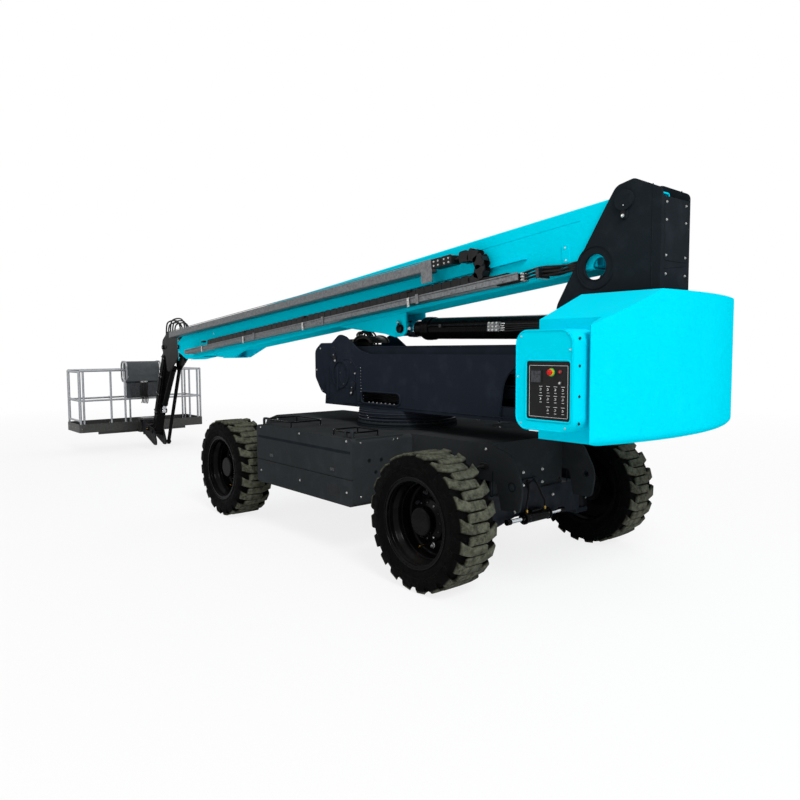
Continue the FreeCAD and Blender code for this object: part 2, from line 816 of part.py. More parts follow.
def make_power_boxes():
    """Closed towards the outside and open towards the frame, each with one heavy unit on its floor."""
    boxes = Piece("power_boxes")
    wall = d.box_wall
    corner = d.box_corner
    outline = [(box_rear, d.box_bottom, corner), (box_front, d.box_bottom, corner),
               (box_front, deck_top, corner), (box_rear, deck_top, corner)]
    hollow = rectangle(box_rear + wall, d.box_bottom + wall, box_front - wall, deck_top - wall, corner - wall)
    boxes.both_sides(d.frame_half_width, box_outer, outline)
    boxes.cut_both_sides(d.frame_half_width, box_outer - wall, hollow)
    middle_x = (box_rear + box_front) / 2
    middle_y = (d.frame_half_width + box_outer) / 2
    unit = rectangle(middle_x - d.power_block_length / 2, d.box_bottom + wall,
                     middle_x + d.power_block_length / 2, d.box_bottom + wall + d.power_block_height)
    boxes.both_sides(middle_y - d.power_block_depth / 2, middle_y + d.power_block_depth / 2, unit)
    groove = rectangle(box_rear - 1, d.box_groove_height, box_front + 1, d.box_groove_height + d.box_groove)
    boxes.cut_both_sides(box_outer - d.box_groove, box_outer + 1, groove)
    for along in (box_rear + 60, box_front - 60 - d.handle_length):
        far = along + d.handle_length
        top = deck_top + d.handle_height
        hoop = [(along, deck_top), (along, top, 30), (far, top, 30), (far, deck_top),
                (far - d.handle_gauge, deck_top), (far - d.handle_gauge, top - d.handle_gauge, 12),
                (along + d.handle_gauge, top - d.handle_gauge, 12), (along + d.handle_gauge, deck_top)]
        boxes.both_sides(box_outer - 60, box_outer - 60 + d.handle_gauge, hoop)


def make_axle(label, x, outward):
    """A fabricated beam with an arched underside, a pivot plate on its outward face and two yokes."""
    axle = Piece(label, (x, 0, 0))
    half_depth = d.axle_depth / 2
    web_inner = kingpin_y - d.axle_web_inset
    web_outer = web_inner + d.yoke_web
    ear_low = axle_height - d.knuckle_height / 2 - d.yoke_gap
    ear_high = axle_height + d.knuckle_height / 2 + d.yoke_gap
    arch = axle_top - d.axle_arch
    beam = mirrored([(web_inner, axle_top), (web_inner, arch - d.axle_foot),
                     (d.frame_half_width - 30, arch - d.axle_foot, 60), (d.axle_arch_half_width, arch, 60)])
    axle.pad("YZ", -half_depth, half_depth, beam)
    for side in (1, -1):
        near, far = sorted((web_inner * side, web_outer * side), key=float)
        axle.pad("XY", ear_low - d.yoke_ear_gauge, ear_high + d.yoke_ear_gauge,
                 rectangle(-half_depth, near, half_depth, far))
        tip = (kingpin_y + d.yoke_reach) * side
        hole = Circle(0, kingpin_y * side, d.kingpin_radius + d.pin_clearance)
        ear = [(-half_depth, web_outer * side), (half_depth, web_outer * side),
               (half_depth, tip, 70), (-half_depth, tip, 70)]
        axle.pad("XY", ear_low - d.yoke_ear_gauge, ear_low, ear, hole)
        axle.pad("XY", ear_high, ear_high + d.yoke_ear_gauge, ear, hole)
    plate = d.pivot_plate_half_width
    low, high = sorted((half_depth * outward, (half_depth - d.pivot_plate_gauge) * outward), key=float)
    axle.pad("YZ", low, high, mirrored([(plate, d.pivot_height + 60, 60), (plate + 60, axle_top - 90)]))
    low, high = sorted(((half_depth - d.pivot_plate_gauge) * outward, (half_depth + 20) * outward), key=float)
    axle.pad("YZ", low, high, Circle(0, d.pivot_height, d.pivot_radius))


def make_knuckle(label, x, side):
    knuckle = Piece(label, (x, kingpin_y * side, axle_height))
    knuckle.pad("XY", -d.knuckle_height / 2, d.knuckle_height / 2, Circle(0, 0, d.knuckle_radius))
    knuckle.pad("XY", -d.kingpin_length / 2, d.kingpin_length / 2, Circle(0, 0, d.kingpin_radius))
    flange = d.kingpin_inset - d.rim_disc_inset - d.rim_disc_gauge - d.hub_gap
    stages = ((flange - d.gearbox_flange, d.gearbox_neck), (flange, d.gearbox_radius),
              (d.kingpin_inset - d.hub_gap, d.spindle_radius))
    start = as_size(0)
    for end, radius in stages:
        low, high = (start, end) if side > 0 else (-end, -start)
        knuckle.pad("XZ", low, high, Circle(0, 0, radius))
        if radius is d.gearbox_neck:
            start = end


def make_rim(place_name, x, side):
    seat = d.rim_seat_width / 2
    flange = seat + d.rim_flange_gauge
    inner = d.rim_seat_radius - d.rim_gauge
    well = inner - d.rim_well
    disc_back = -d.rim_disc_inset - d.rim_disc_gauge
    disc_front = -d.rim_disc_inset
    hole = d.spindle_radius + d.pin_clearance
    rim = Piece(f"{place_name}_rim", (x, wheel_y * side, axle_height), -90 * side, (1, 0, 0))
    rim.turn([
        (inner, -flange), (d.rim_flange_radius, -flange, 4), (d.rim_flange_radius, -seat),
        (d.rim_seat_radius, -seat), (d.rim_seat_radius, seat), (d.rim_flange_radius, seat),
        (d.rim_flange_radius, flange, 4), (inner, flange), (inner, seat - 50, 20), (well, seat - 90, 20),
        (well, disc_front, 25), (d.hub_radius, disc_front), (d.hub_radius, 15, 12),
        (d.hub_cap_radius, 45, 12), (d.hub_cap_radius, d.hub_reach, 16), (0, d.hub_reach), (0, 0),
        (hole, 0), (hole, disc_back), (well, disc_back), (well, -seat + 60, 20), (inner, -seat + 30, 20),
    ])


# ---- tyres ----
def turned(angle, radius, y):
    """A point at a distance from the wheel's axis, which is Y; angles run from +X to -Z."""
    return FreeCAD.Vector(radius * math.cos(angle), y, -radius * math.sin(angle))


def flat_face(*corners):
    return Part.Face(Part.makePolygon(list(corners) + [corners[0]]))


def make_carcass(half_outline, count, start):
    """A ring with flat sides, from the outline of one half given as radius and distance from the middle."""
    outline = half_outline + [(radius, -y) for radius, y in reversed(half_outline)]
    step = 2 * math.pi / count
    faces = []
    for i in range(count):
        low, high = start + step * i, start + step * (i + 1)
        for (r1, y1), (r2, y2) in zip(outline, outline[1:] + outline[:1]):
            faces.append(flat_face(turned(low, r1, y1), turned(high, r1, y1),
                                   turned(high, r2, y2), turned(low, r2, y2)))
    return Part.Solid(Part.Shell(faces))


def lug_middle():
    """The middle of a lug's width, foot included, counted along the tread from its straight end's middle."""
    return (d.lug_sweep.number + d.lug_foot_width.number / 2 - d.lug_width.number / 2) / 2


def lug_top():
    """The height of a lug's flat top over the axle, with its far corners on the tyre's outer radius."""
    reach = lug_middle() + d.lug_width.number / 2
    return math.sqrt(axle_height.number ** 2 - reach ** 2), reach


def make_lug(angle, mirror):
    """One lug: from its straight end past the middle it sweeps back to a wider foot on the sidewall."""
    outer = axle_height.number
    half = d.tyre_width.number / 2
    knee = half - d.lug_knee.number
    end = half - d.lug_length.number
    narrow = d.lug_width.number / 2
    wide = d.lug_foot_width.number / 2
    sweep = d.lug_sweep.number
    middle = lug_middle()
    top = lug_top()[0]
    toe = d.rim_seat_radius.number + d.tyre_wall_height.number + d.lug_toe_rise.number
    heel = half - d.lug_bevel.number
    out = turned(angle + middle / outer, 1, 0)
    along = turned(angle + middle / outer + math.pi / 2, 1, 0)

    def spot(across, y, height):
        return along * (across - middle) + out * height + FreeCAD.Vector(0, y * mirror, 0)

    plan = [(-narrow, end), (narrow, end), (narrow, knee), (sweep + wide, half), (sweep - wide, half)]
    body = flat_face(*[spot(u, y, toe) for u, y in plan]).extrude(out * (top - toe))
    wedge = flat_face(spot(-outer, heel, top + 1), spot(-outer, half + 1, top + 1),
                      spot(-outer, half + 1, toe - 1), spot(-outer, half - d.lug_bevel.number / 2, toe - 1))
    return body.cut(wedge.extrude(along * outer * 2))


def make_tyre_shape():
    """A flat-sided carcass with two rows of lugs, each row reaching past the middle between the other's.

    The wheel is turned so that it stands on a lug's corner.
    """
    count = round(2 * math.pi * axle_height.number / (2 * (d.lug_width.number + d.lug_groove.number)))
    step = 2 * math.pi / count
    flat = math.cos(step / 2)
    outer = axle_height.number
    half = d.tyre_width.number / 2
    tread = outer - d.lug_depth.number
    top, reach = lug_top()
    standing = math.atan2(reach, top) - lug_middle() / outer
    carcass = make_carcass([
        ((d.rim_seat_radius.number + d.rim_seat_gap.number) / flat, d.tyre_bead_width.number / 2),
        (d.rim_seat_radius.number + d.tyre_wall_height.number, half),
        (tread / flat, half - d.tread_shoulder.number),
    ], count, standing + (d.lug_sweep.number / outer - step) / 2)
    lugs = []
    for i in range(count):
        lugs.append(make_lug(standing + step * i, 1))
        lugs.append(make_lug(standing + step * (i + 0.5), -1))
    return carcass.fuse(lugs).removeSplitter().Solids[0]


def make_wheels():
    tyre_shape = make_tyre_shape()
    for end, x in (("front", front_axle_x), ("rear", rear_axle_x)):
        for hand, side in (("left", 1), ("right", -1)):
            make_knuckle(f"{end}_{hand}_knuckle", x, side)
            make_rim(f"{end}_{hand}", x, side)
            Block(f"{end}_{hand}_tyre", tyre_shape.copy(), (x, wheel_y * side, axle_height))


# ---- turntable ----
def make_turntable_frame():
    frame = Piece("turntable_frame")
    half = turntable_half
    frame.pad("XY", d.turntable_bottom, turntable_floor,
              rectangle(side_plate_rear, -half, turntable_front, half))
    ring_height = d.turntable_bottom - slew_ring_bottom
    groove = ring_height / 4
    for low, high, radius in (
            (slew_ring_bottom, slew_ring_bottom + groove, d.slew_ring_radius),
            (slew_ring_bottom + groove, slew_ring_bottom + groove * 2, d.slew_ring_radius - d.slew_ring_groove),
            (slew_ring_bottom + groove * 2, d.turntable_bottom, d.slew_ring_radius)):
        frame.pad("XY", low, high, Circle(d.slew_x, 0, radius), Circle(d.slew_x, 0, d.pedestal_bore))
    peak_x = riser_pin[0] - d.peak_back
    peak_z = riser_pin[1] + d.peak_rise
    arm_bottom = side_plate_top - d.arm_depth
    outline = [
        (turntable_front, turntable_floor), (turntable_front - 60, riser_pin[1] - 100, 200),
        (peak_x + 180, riser_pin[1] + 90, 100), (peak_x + 20, peak_z, 90), (peak_x - 90, peak_z - 30, 60),
        (peak_x - 320, side_plate_top + 40, 200), (peak_x - 500, side_plate_top, 200),
        (tail_front, side_plate_top), (tail_front, arm_bottom + 20),
        (side_plate_rear - 60, arm_bottom, 260), (side_plate_rear, turntable_floor),
    ]
    window = rectangle(d.access_rear, d.access_bottom + 15, d.access_front, d.access_top, 45)
    frame.both_sides(turntable_inner, half, outline, window)
    cover = (peak_x - d.cover_back + 120, riser_pin[1] - d.cover_drop)
    frame.both_sides(half, half + d.cover_gauge, bore(cover, d.cover_radius), bore(cover, d.cover_radius - 22))
    for x in (turntable_front - 78, d.access_front + 20):
        frame.both_sides(half, half + d.rib_gauge * 2,
                         rectangle(x, d.rib_bottom, x + d.rib_gauge, d.rib_bottom + d.rib_height, 6))
    for pin, radius, reach in ((riser_pin, d.riser_pin_radius, d.pin_end), (link_pin, d.link_pin_radius, d.pin_end)):
        frame.pad("XZ", -half - reach, half + reach, bore(pin, radius))
        frame.both_sides(half, half + d.keeper_gauge, bore(pin, radius + d.pin_boss / 2))
    beam_top = d.turntable_bottom + d.tail_beam_height
    frame.both_sides(weight_slot - d.tail_beam_width, weight_slot,
                     rectangle(weight_slot_rear, d.turntable_bottom, side_plate_rear + 200, beam_top))
    frame.pad("XZ", -weight_slot, weight_slot,
              rectangle(weight_slot_rear, d.turntable_bottom, weight_slot_rear + 40, beam_top))
    foot_x, foot_z = riser_jack_foot
    lug = [(foot_x - 110, turntable_floor), (foot_x + 110, turntable_floor),
           (foot_x + 50, foot_z + 50, 40), (foot_x - 50, foot_z + 50, 40)]
    frame.both_sides(jack_lug_inner, jack_lug_outer, lug)
    frame.pad("XZ", -jack_lug_inner, jack_lug_inner, bore(riser_jack_foot, d.jack_pin_radius))


def make_front_cap():
    """A bent cover over the riser's foot, open towards the turntable."""
    cap = Piece("front_cap")
    front = turntable_front + d.cap_reach
    shoulder = turntable_front + d.cap_reach * 0.6
    low = turntable_floor + 40
    top = riser_pin[1] + 100
    wall = d.cap_wall
    back = turntable_front - 55
    outline = [(turntable_front + 5, low), (shoulder, low + 50, 80), (front, low + 210, 80),
               (front, side_plate_top + 40, 80), (shoulder, top, 60), (back, top), (back, riser_pin[1] - 60),
               (turntable_front + 5, riser_pin[1] - 200)]
    cap.pad("XZ", -d.cap_half_width, d.cap_half_width, outline)
    hollow = [(turntable_front - 60, low + wall + 2), (shoulder - wall, low + 50 + wall, 70),
              (front - wall, low + 214, 72), (front - wall, side_plate_top + 36, 72),
              (shoulder - wall, top - wall, 52), (turntable_front - 60, top - wall)]
    cap.cut("XZ", wall - d.cap_half_width, d.cap_half_width - wall, hollow)


def make_counterweight():
    """A casting with a round back, a slot for the upright and a top that falls to the left."""
    weight = Piece("counterweight")
    low, top = d.weight_bottom, d.weight_top
    weight.pad("XY", low, top, rectangle(weight_rear - 1, -d.weight_right, tail_front, d.weight_left))
    round_back = Circle(d.slew_x, 0, tail_radius)
    far = tail_radius + 10
    weight.cut("XY", low - 1, top + 1,
               rectangle(d.slew_x - far, -far, d.slew_x + far, far), round_back)
    front = tail_front.number

    def upright_corner(box):
        standing = box.ZLength > 900 and box.XLength < 1 and box.YLength < 1
        return standing and box.XMin < front - 1

    def lower_edge(box):
        return box.ZLength < 1 and box.ZMax < d.weight_bottom.number + 1 and box.XMin < front - 1

    weight.fillet(d.weight_corner, upright_corner)
    weight.fillet(d.weight_edge, lower_edge)
    weight.cut("YZ", weight_rear - 1, tail_front + 1,
               [(d.weight_shoulder, top), (d.weight_left, d.weight_left_top),
                (d.weight_left + 1, d.weight_left_top), (d.weight_left + 1, top + 1),
                (d.weight_shoulder, top + 1)])
    weight.cut("YZ", weight_rear - 1, tail_front + 1,
               [(-d.weight_right - 1, top + 1), (-d.weight_right - 1, top - 90),
                (-d.weight_right + 10, top - 90), (-d.weight_right + 60, top), (-d.weight_right + 60, top + 1)])
    weight.cut("XY", low - 1, top + 1, rectangle(weight_slot_rear, -weight_slot, tail_front + 1, weight_slot))
    box_rear_x = tail_front - d.control_box_length
    notch_back = d.weight_left + d.control_box_reach - d.control_box_depth
    notch_rear = box_rear_x - d.box_to_weight
    weight.cut("XY", low - 1, top + 1,
               [(notch_rear, notch_back), (tail_front + 1, notch_back), (tail_front + 1, d.weight_left + 1),
                (notch_rear - 60, d.weight_left + 1), (notch_rear - 40, d.weight_left - 30, 30),
                (notch_rear, d.weight_left - 60)])


def make_control_box():
    """A rounded box, open towards the counterweight, with a recess for its panel."""
    box = Piece("ground_control_box")
    face = d.weight_left + d.control_box_reach
    front = tail_front
    rear = front - d.control_box_length
    wall = d.control_box_wall
    corner = d.control_box_corner
    low, top = d.control_box_bottom, d.control_box_top
    box.pad("XZ", face - d.control_box_depth, face, rectangle(rear, low, front, top, corner))
    box.cut("XZ", face - d.control_box_depth, face - wall,
            rectangle(rear + wall, low + wall, front - wall, top - wall, corner - wall))
    rim = d.control_panel_rim
    box.cut("XZ", face - d.control_panel_recess, face + 1,
            rectangle(rear + rim / 2, low + d.control_panel_bottom, front - rim * 2,
                      top - d.control_panel_top, rim / 2))


# ---- riser ----
def make_riser():
    """A channel open downwards between the turntable and the upright."""
    riser = Piece("riser_boom")
    top = riser_pin[1] + d.riser_above
    low = riser_pin[1] - d.riser_below
    rear, front = upright_pin[0] - d.riser_end, riser_pin[0] + d.riser_end
    side = [(rear, low + 90, 90), (rear + 260, low), (front - 300, low), (front, low + 90, 90),
            (front, top, 60), (rear, top, 60)]
    hole = d.riser_pin_radius + d.pin_clearance
    riser.both_sides(riser_inner, riser_half, side, bore(riser_pin, hole), bore(upright_pin, hole))
    riser.pad("XY", top - d.riser_plate, top,
              rectangle(upright_pin[0] + 320, -riser_inner, riser_pin[0] - 250, riser_inner))
    hub = d.riser_pin_radius + d.pin_boss
    riser.pad("XZ", -riser_inner, riser_inner, bore(riser_pin, hub), bore(riser_pin, hole))
    riser.both_sides(riser_half, riser_half + d.pin_end, bore(riser_pin, hub), bore(riser_pin, hole))
    x, z = riser_jack_eye
    lug = [(x - 120, top - d.riser_plate), (x - 50, z - 50, 40), (x + 50, z - 50, 40),
           (x + 120, top - d.riser_plate)]
    riser.both_sides(jack_lug_inner, jack_lug_outer, lug)
    pin_heads(riser, riser_jack_eye, jack_lug_outer, d.jack_pin_radius)


def make_riser_link():
    link = Piece("riser_link")
    end = d.link_end
    bar = rectangle(upright_link_pin[0] - end, link_pin[1] - d.link_half_height,
                    link_pin[0] + end, link_pin[1] + d.link_half_height, d.link_half_height * 0.9)
    hole = d.link_pin_radius + d.pin_clearance
    link.both_sides(link_inner, link_outer, bar, bore(link_pin, hole), bore(upright_link_pin, hole))
    for pin in (link_pin, upright_link_pin):
        link.pad("XZ", -link_inner, link_inner, bore(pin, hole + 12), bore(pin, hole))


def pin_heads(piece, pin, outer, radius, head=12):
    """The two ends of a pin, seen outside the pair of lugs that hold it."""
    piece.both_sides(outer, outer + head, bore(pin, radius))


def make_jack(prefix, foot, eye, barrel_radius, rod_radius, stub, pin_radius, half_width):
    """A hydraulic cylinder from its foot pin to its eye pin, drawn along X and tilted into place."""
    reach = distance(foot, eye)
    slope = fall(foot, eye)
    eye_radius = pin_radius * 1.8
    hole = pin_radius + d.pin_clearance
    barrel = Piece(f"{prefix}_barrel", (foot[0], 0, foot[1]), slope)
    barrel.pad("XZ", -half_width, half_width, Circle(0, 0, eye_radius), Circle(0, 0, hole))
    start = pin_radius * 1.6
    cap_end = start + barrel_radius * 0.7
    barrel_end = reach - stub
    gland_start = barrel_end - barrel_radius
    bore_radius = rod_radius + d.pin_clearance
    skin = barrel_radius * 0.92
    barrel.pad("YZ", start, cap_end, Circle(0, 0, barrel_radius))
    barrel.pad("YZ", cap_end, gland_start, Circle(0, 0, skin), Circle(0, 0, bore_radius))
    barrel.pad("YZ", gland_start, barrel_end, Circle(0, 0, barrel_radius), Circle(0, 0, bore_radius))
    rod = Piece(f"{prefix}_rod", (foot[0], 0, foot[1]), slope)
    rod.pad("YZ", cap_end + 20, reach - pin_radius * 1.6, Circle(0, 0, rod_radius))
    rod.pad("YZ", barrel_end + stub * 0.45, reach - pin_radius * 1.6, Circle(0, 0, rod_radius * 1.3))
    rod.pad("XZ", -half_width, half_width, Circle(reach, 0, eye_radius))


def make_upright():
    upright = Piece("upright")
    inner, outer = upright_inner, upright_half
    foot = upright_link_pin
    crown = boom_pin[1] + d.upright_crown
    outline = [
        (upright_back, crown - 100, 50), (upright_back, foot[1] - d.upright_foot, 60),
        (foot[0] - 60, foot[1] - 80, 60), (foot[0] + 60, foot[1] - 80, 60),
        (upright_pin[0] + 100, upright_pin[1] - 100, 60), (upright_front, upright_pin[1] - 40, 60),
        (upright_front, boom_pin[1] - 710, 150), (upright_front - 130, boom_pin[1] - 490, 400),
        (boom_pin[0] + 130, boom_pin[1] + 20, 90), (boom_pin[0] + 70, boom_pin[1] + 110, 90),
        (boom_pin[0] - 70, crown, 60),
    ]
    window = (boom_pin[0] + d.upright_window_dx, boom_pin[1] - d.upright_window_drop)
    upright.both_sides(inner, outer, outline, bore(window, d.upright_window_radius))
    upright.both_sides(outer, outer + d.upright_ring_gauge,
                       bore(window, d.upright_ring_radius), bore(window, d.upright_ring_radius - 12))
    upright.pad("YZ", upright_back, upright_back + d.upright_plate,
                rectangle(-inner, foot[1] - d.upright_foot + 60, inner, crown - 150))
    pin_reach = riser_half + d.pin_end
    upright.pad("XZ", -pin_reach, pin_reach, bore(upright_pin, d.riser_pin_radius))
    upright.pad("XZ", -outer - d.pin_end, outer + d.pin_end, bore(foot, d.link_pin_radius))
    upright.pad("XZ", -outer - d.pin_end, outer + d.pin_end, bore(boom_pin, d.boom_pin_radius))
    upright.both_sides(outer, outer + d.pin_end, bore(boom_pin, d.boom_cap_radius))
    upright.pad("XZ", -outer - d.pin_end, outer + d.pin_end, bore(boom_jack_foot, d.boom_jack_pin_radius))
    upright.both_sides(outer, outer + d.keeper_gauge,
                       rectangle(boom_jack_foot[0] - 30, boom_jack_foot[1] + 30, boom_jack_foot[0] + 30,
                                 boom_jack_foot[1] + 120, 12))
    upright.both_sides(outer, outer + d.keeper_gauge,
                       rectangle(boom_pin[0] - 28, boom_pin[1] - 130, boom_pin[0] + 28, boom_pin[1] - 40, 12))


# ---- main boom ----
def boom_piece(label):
    return Piece(label, (boom_pin[0], 0, boom_pin[1]), d.boom_slope)


def make_boom_section(label, rear, front, inset, wall):
    """One hollow section of the boom, and the half width, bottom and top of its outside."""
    section = boom_piece(label)
    half = d.boom_half_width - inset
    low, high = inset - d.boom_below, d.boom_above - inset
    section.pad("YZ", rear, front, rectangle(-half, low, half, high, d.boom_corner),
                rectangle(-half + wall, low + wall, half - wall, high - wall, d.boom_corner - wall * 0.7))
    return section, half, low, high


def make_boom_base():
    base, half, low, high = make_boom_section("boom_base_section", -d.boom_tail, d.boom_length, as_size(0),
                                              d.boom_wall)
    hub = d.boom_pin_radius + d.pin_clearance
    base.cut("XZ", -half - 1, half + 1, Circle(0, 0, hub), Circle(260, -430 + 25, 60))
    front = d.boom_length
    collar = d.boom_collar
    base.pad("YZ", front - d.boom_collar_length, front,
             rectangle(-half - collar, low - collar, half, high + collar, d.boom_corner),
             rectangle(-half + d.boom_wall, low + d.boom_wall, half - d.boom_wall, high - d.boom_wall))
    along, below = d.boom_jack_eye_along, d.boom_jack_eye_below
    lug = [(along - 90, low + 1), (along - 80, -below - 75, 70), (along + 90, -below - 75, 70),
           (along + 260, -below - 20, 200), (along + 1050, low + 1)]
    base.both_sides(boom_lug_inner, boom_lug_outer, lug)
    pin_heads(base, (along, -below), boom_lug_outer, d.boom_jack_pin_radius)
    start = front - d.boom_bracket_length
    drop = d.boom_bracket_drop
    keel = [(start, low + 1), (start + 480, low - drop, 30), (start + 820, low - drop + 35, 30),
            (front - 30, low - 30), (front - 30, low + 1)]
    base.both_sides(boom_lug_inner, boom_lug_outer, keel)
    base.pad("XZ", -boom_lug_outer, boom_lug_outer,
             [(start + 560, low - drop + 4), (start + 800, low - drop + 22), (start + 800, low - drop + 34),
              (start + 560, low - drop + 16)])
    ledge = -d.boom_ledge_drop
    base.pad("YZ", d.lower_tray_rear, front - d.boom_collar_length,
             rectangle(half - 1, ledge, half + d.boom_ledge, ledge + 6))


def make_mid_section():
    mid, half, low, high = make_boom_section("boom_mid_section", d.mid_rear, mid_front, mid_inset, d.mid_wall)
    hook = [(mid_front - d.hook_length, low - d.hook_gauge), (mid_front, low - d.hook_gauge),
            (mid_front, low + 1), (mid_front - d.hook_length + 60, low + 1)]
    mid.pad("XZ", -half + 20, half - 20, hook)


def make_fly_section():
    fly, half, low, high = make_boom_section("boom_fly_section", d.fly_rear, fly_front, fly_inset, d.fly_wall)
    nose_up = -d.nose_drop
    ear = [(fly_front - 20, low), (fly_front - 20, high), (nose_along + 65, nose_up + 65, 60),
           (nose_along + 65, nose_up - 65, 60)]
    fly.both_sides(nose_half + d.nose_side_gap, half, ear)
    fly.pad("YZ", fly_front - d.fly_wall, fly_front, rectangle(-half, low, half, high))
    fly.pad("XZ", -half - d.pin_end, half + d.pin_end, Circle(nose_along, nose_up, d.nose_pin_radius))


def make_tray(label, rear, length, top, height, rise, gap):
    """A channel open upwards along the boom's left side, rising a little against the boom."""
    start = on_boom(rear, top)
    tray = Piece(label, (start[0], 0, start[1]), d.boom_slope - rise)
    inner = d.boom_half_width + gap
    outer = d.boom_half_width + d.tray_reach
    wall = d.tray_gauge
    tray.pad("YZ", 0, length, [
        (inner, -height), (outer, -height, 8), (outer, 0), (outer - wall, 0), (outer - wall, wall - height, 3),
        (inner + wall, wall - height), (inner + wall, 0), (inner, 0)])
    return tray, inner, outer


def make_trays():
    upper, inner, outer = make_tray("upper_cable_tray", d.upper_tray_rear, d.upper_tray_length,
                                    d.upper_tray_top, d.upper_tray_height, d.upper_tray_rise,
                                    d.upper_tray_gap)
    height, length = d.tray_bracket_height, d.tray_bracket_length
    upper.pad("XZ", outer, outer + d.tray_bracket_gauge,
              rectangle(-length / 2, -height + 40, length / 2, 10, 15))
    lower, inner, outer = make_tray("lower_cable_tray", d.lower_tray_rear, d.lower_tray_length,
                                    d.lower_tray_top, d.lower_tray_height, d.lower_tray_rise, as_size(0))
    lower.pad("XZ", outer, outer + d.tray_bracket_gauge,
              *[rectangle(x, -d.lower_tray_height - 12, x + 40, 12, 5) for x in chain_clips()])


def chain_clips():
    return [d.lower_tray_length * share for share in (0.18, 0.42, 0.66, 0.9)]


def make_chain():
    """Box-shaped links: a lower run in its tray, then round the bend at the rear and up to the upper tray."""
    start = on_boom(d.lower_tray_rear, d.lower_tray_top)
    chain = Piece("cable_chain", (start[0], 0, start[1]), d.boom_slope - d.lower_tray_rise)
    inner = d.boom_half_width + d.boom_ledge + d.tray_gauge
    outer = d.boom_half_width + d.tray_reach - d.tray_gauge * 2
    low = d.tray_gauge - d.lower_tray_height
    first = d.chain_rear - d.lower_tray_rear
    height = d.chain_height
    chain.pad("XZ", inner, outer, rectangle(first, low, first + d.chain_link, low + height))
    chain.repeat(d.chain_pitch, d.chain_links)
    rise = d.upper_tray_top - d.upper_tray_height - d.lower_tray_top - low + d.chain_height / 2
    radius = rise / 2 - height / 2
    bend = 5
    loops = []
    for i in range(bend):
        a = [math.pi / 2 + math.pi * (i + part) / bend for part in (0.04, 0.96)]
        centre_u = first - d.chain_pitch + d.chain_link / 2
        centre_v = low + rise / 2
        inside, outside = radius - height / 2, radius + height / 2
        loops.append([(centre_u + reach * math.cos(angle), centre_v + reach * math.sin(angle))
                      for reach, angle in ((inside, a[0]), (outside, a[0]), (outside, a[1]), (inside, a[1]))])
    chain.pad("XZ", inner, outer, *loops)


# ---- nose, jib and platform ----
def make_nose():
    nose = Piece("boom_nose")
    half = nose_half
    hole = d.nose_pin_radius + d.pin_clearance
    nx, nz = nose_pin
    jx, jz = jib_pin
    plate = [
        (nx - 75, nz - 60, 60), (nx - 75, nz + 75, 60), (nx + 150, nz + 240, 90), (jx - 190, nz + 270, 90),
        (jx + 65, jz + 110, 90), (jx + 70, jz - 70, 60), (jx - 60, jz - 130, 40),
        (jib_jack_foot[0] + 55, jib_jack_foot[1] - 55, 50), (jib_jack_foot[0] - 55, jib_jack_foot[1] - 55, 50),
    ]
    nose.both_sides(half - d.nose_plate, half, plate, bore(nose_pin, hole))
    nose.pad("XZ", -half, half, rectangle(nx + 130, nz - 60, jx - 180, nz + 190, 40))
    nose.pad("XZ", -half - d.pin_end, half + d.pin_end, bore(jib_pin, d.jib_pin_radius))
    nose.pad("XZ", -half, half, bore(jib_jack_foot, d.jib_jack_pin_radius))
    link_inner_y = d.jib_link_y - d.jib_link_half_width - d.pin_end
    nose.pad("XZ", link_inner_y, -half, bore(jib_link_top, d.jib_link_pin_radius))


def make_jib():
    jib = Piece("jib_arm", (jib_pin[0], 0, jib_pin[1]), d.jib_slope)
    hole = d.jib_pin_radius + d.pin_clearance
    half = jib_half
    for along in (0, d.jib_length):
        jib.pad("XZ", -half, half, Circle(along, 0, d.jib_eye_radius), Circle(along, 0, hole))
    start = d.jib_eye_radius - 10
    depth = d.jib_half_depth
    jib.pad("YZ", start, d.jib_length - start, rectangle(-half, -depth, half, depth, 14),
            rectangle(-half + d.jib_wall, -depth + d.jib_wall, half - d.jib_wall, depth - d.jib_wall))
    along, off = d.jib_jack_eye_along, -d.jib_jack_eye_off
    lug_inner = d.jib_jack_half_width + d.jack_side_gap
    lug = [(along - 70, 1 - depth), (along - 30, off - 38, 25), (along + 30, off - 38, 25), (along + 70, 1 - depth)]
    jib.both_sides(lug_inner, lug_inner + d.jib_lug, lug)
    pin_heads(jib, (along, off), lug_inner + d.jib_lug, d.jib_jack_pin_radius, 8)


def make_jib_link():
    link = Piece("jib_link", (jib_link_top[0], d.jib_link_y, jib_link_top[1]), d.jib_slope)
    hole = d.jib_link_pin_radius + d.pin_clearance
    half = d.jib_link_half_width
    for along in (0, d.jib_length):
        link.pad("XZ", -half, half, Circle(along, 0, d.jib_link_eye_radius), Circle(along, 0, hole))
    link.pad("YZ", 30, d.jib_length - 30, Circle(0, 0, d.jib_link_radius))


def make_platform_support():
    support = Piece("platform_support")
    half = nose_half
    fx, fz = jib_foot
    lx, lz = jib_link_foot
    back = rotator_x - d.rotator_radius * 0.6
    plate = [
        (fx - 60, fz + 65, 60), (fx + 75, fz + 65, 60), (back, rotator_top - 20, 60), (back, rotator_bottom, 40),
        (lx + 60, lz - 45, 40), (lx - 50, lz - 45, 40), (lx - 50, lz + 45, 40),
    ]
    support.both_sides(half - d.nose_plate, half, plate)
    support.pad("XZ", d.nose_plate - half, half - d.nose_plate,
                rectangle(fx + 130, rotator_bottom, back, rotator_top - 60))
    support.pad("XY", rotator_bottom, rotator_top, Circle(rotator_x, 0, d.rotator_radius))
    support.pad("XZ", -half - d.pin_end, half + d.pin_end, bore(jib_foot, d.jib_pin_radius))
    support.pad("XZ", d.jib_link_y - d.jib_link_half_width - d.pin_end, -half,
                bore(jib_link_foot, d.jib_link_pin_radius))


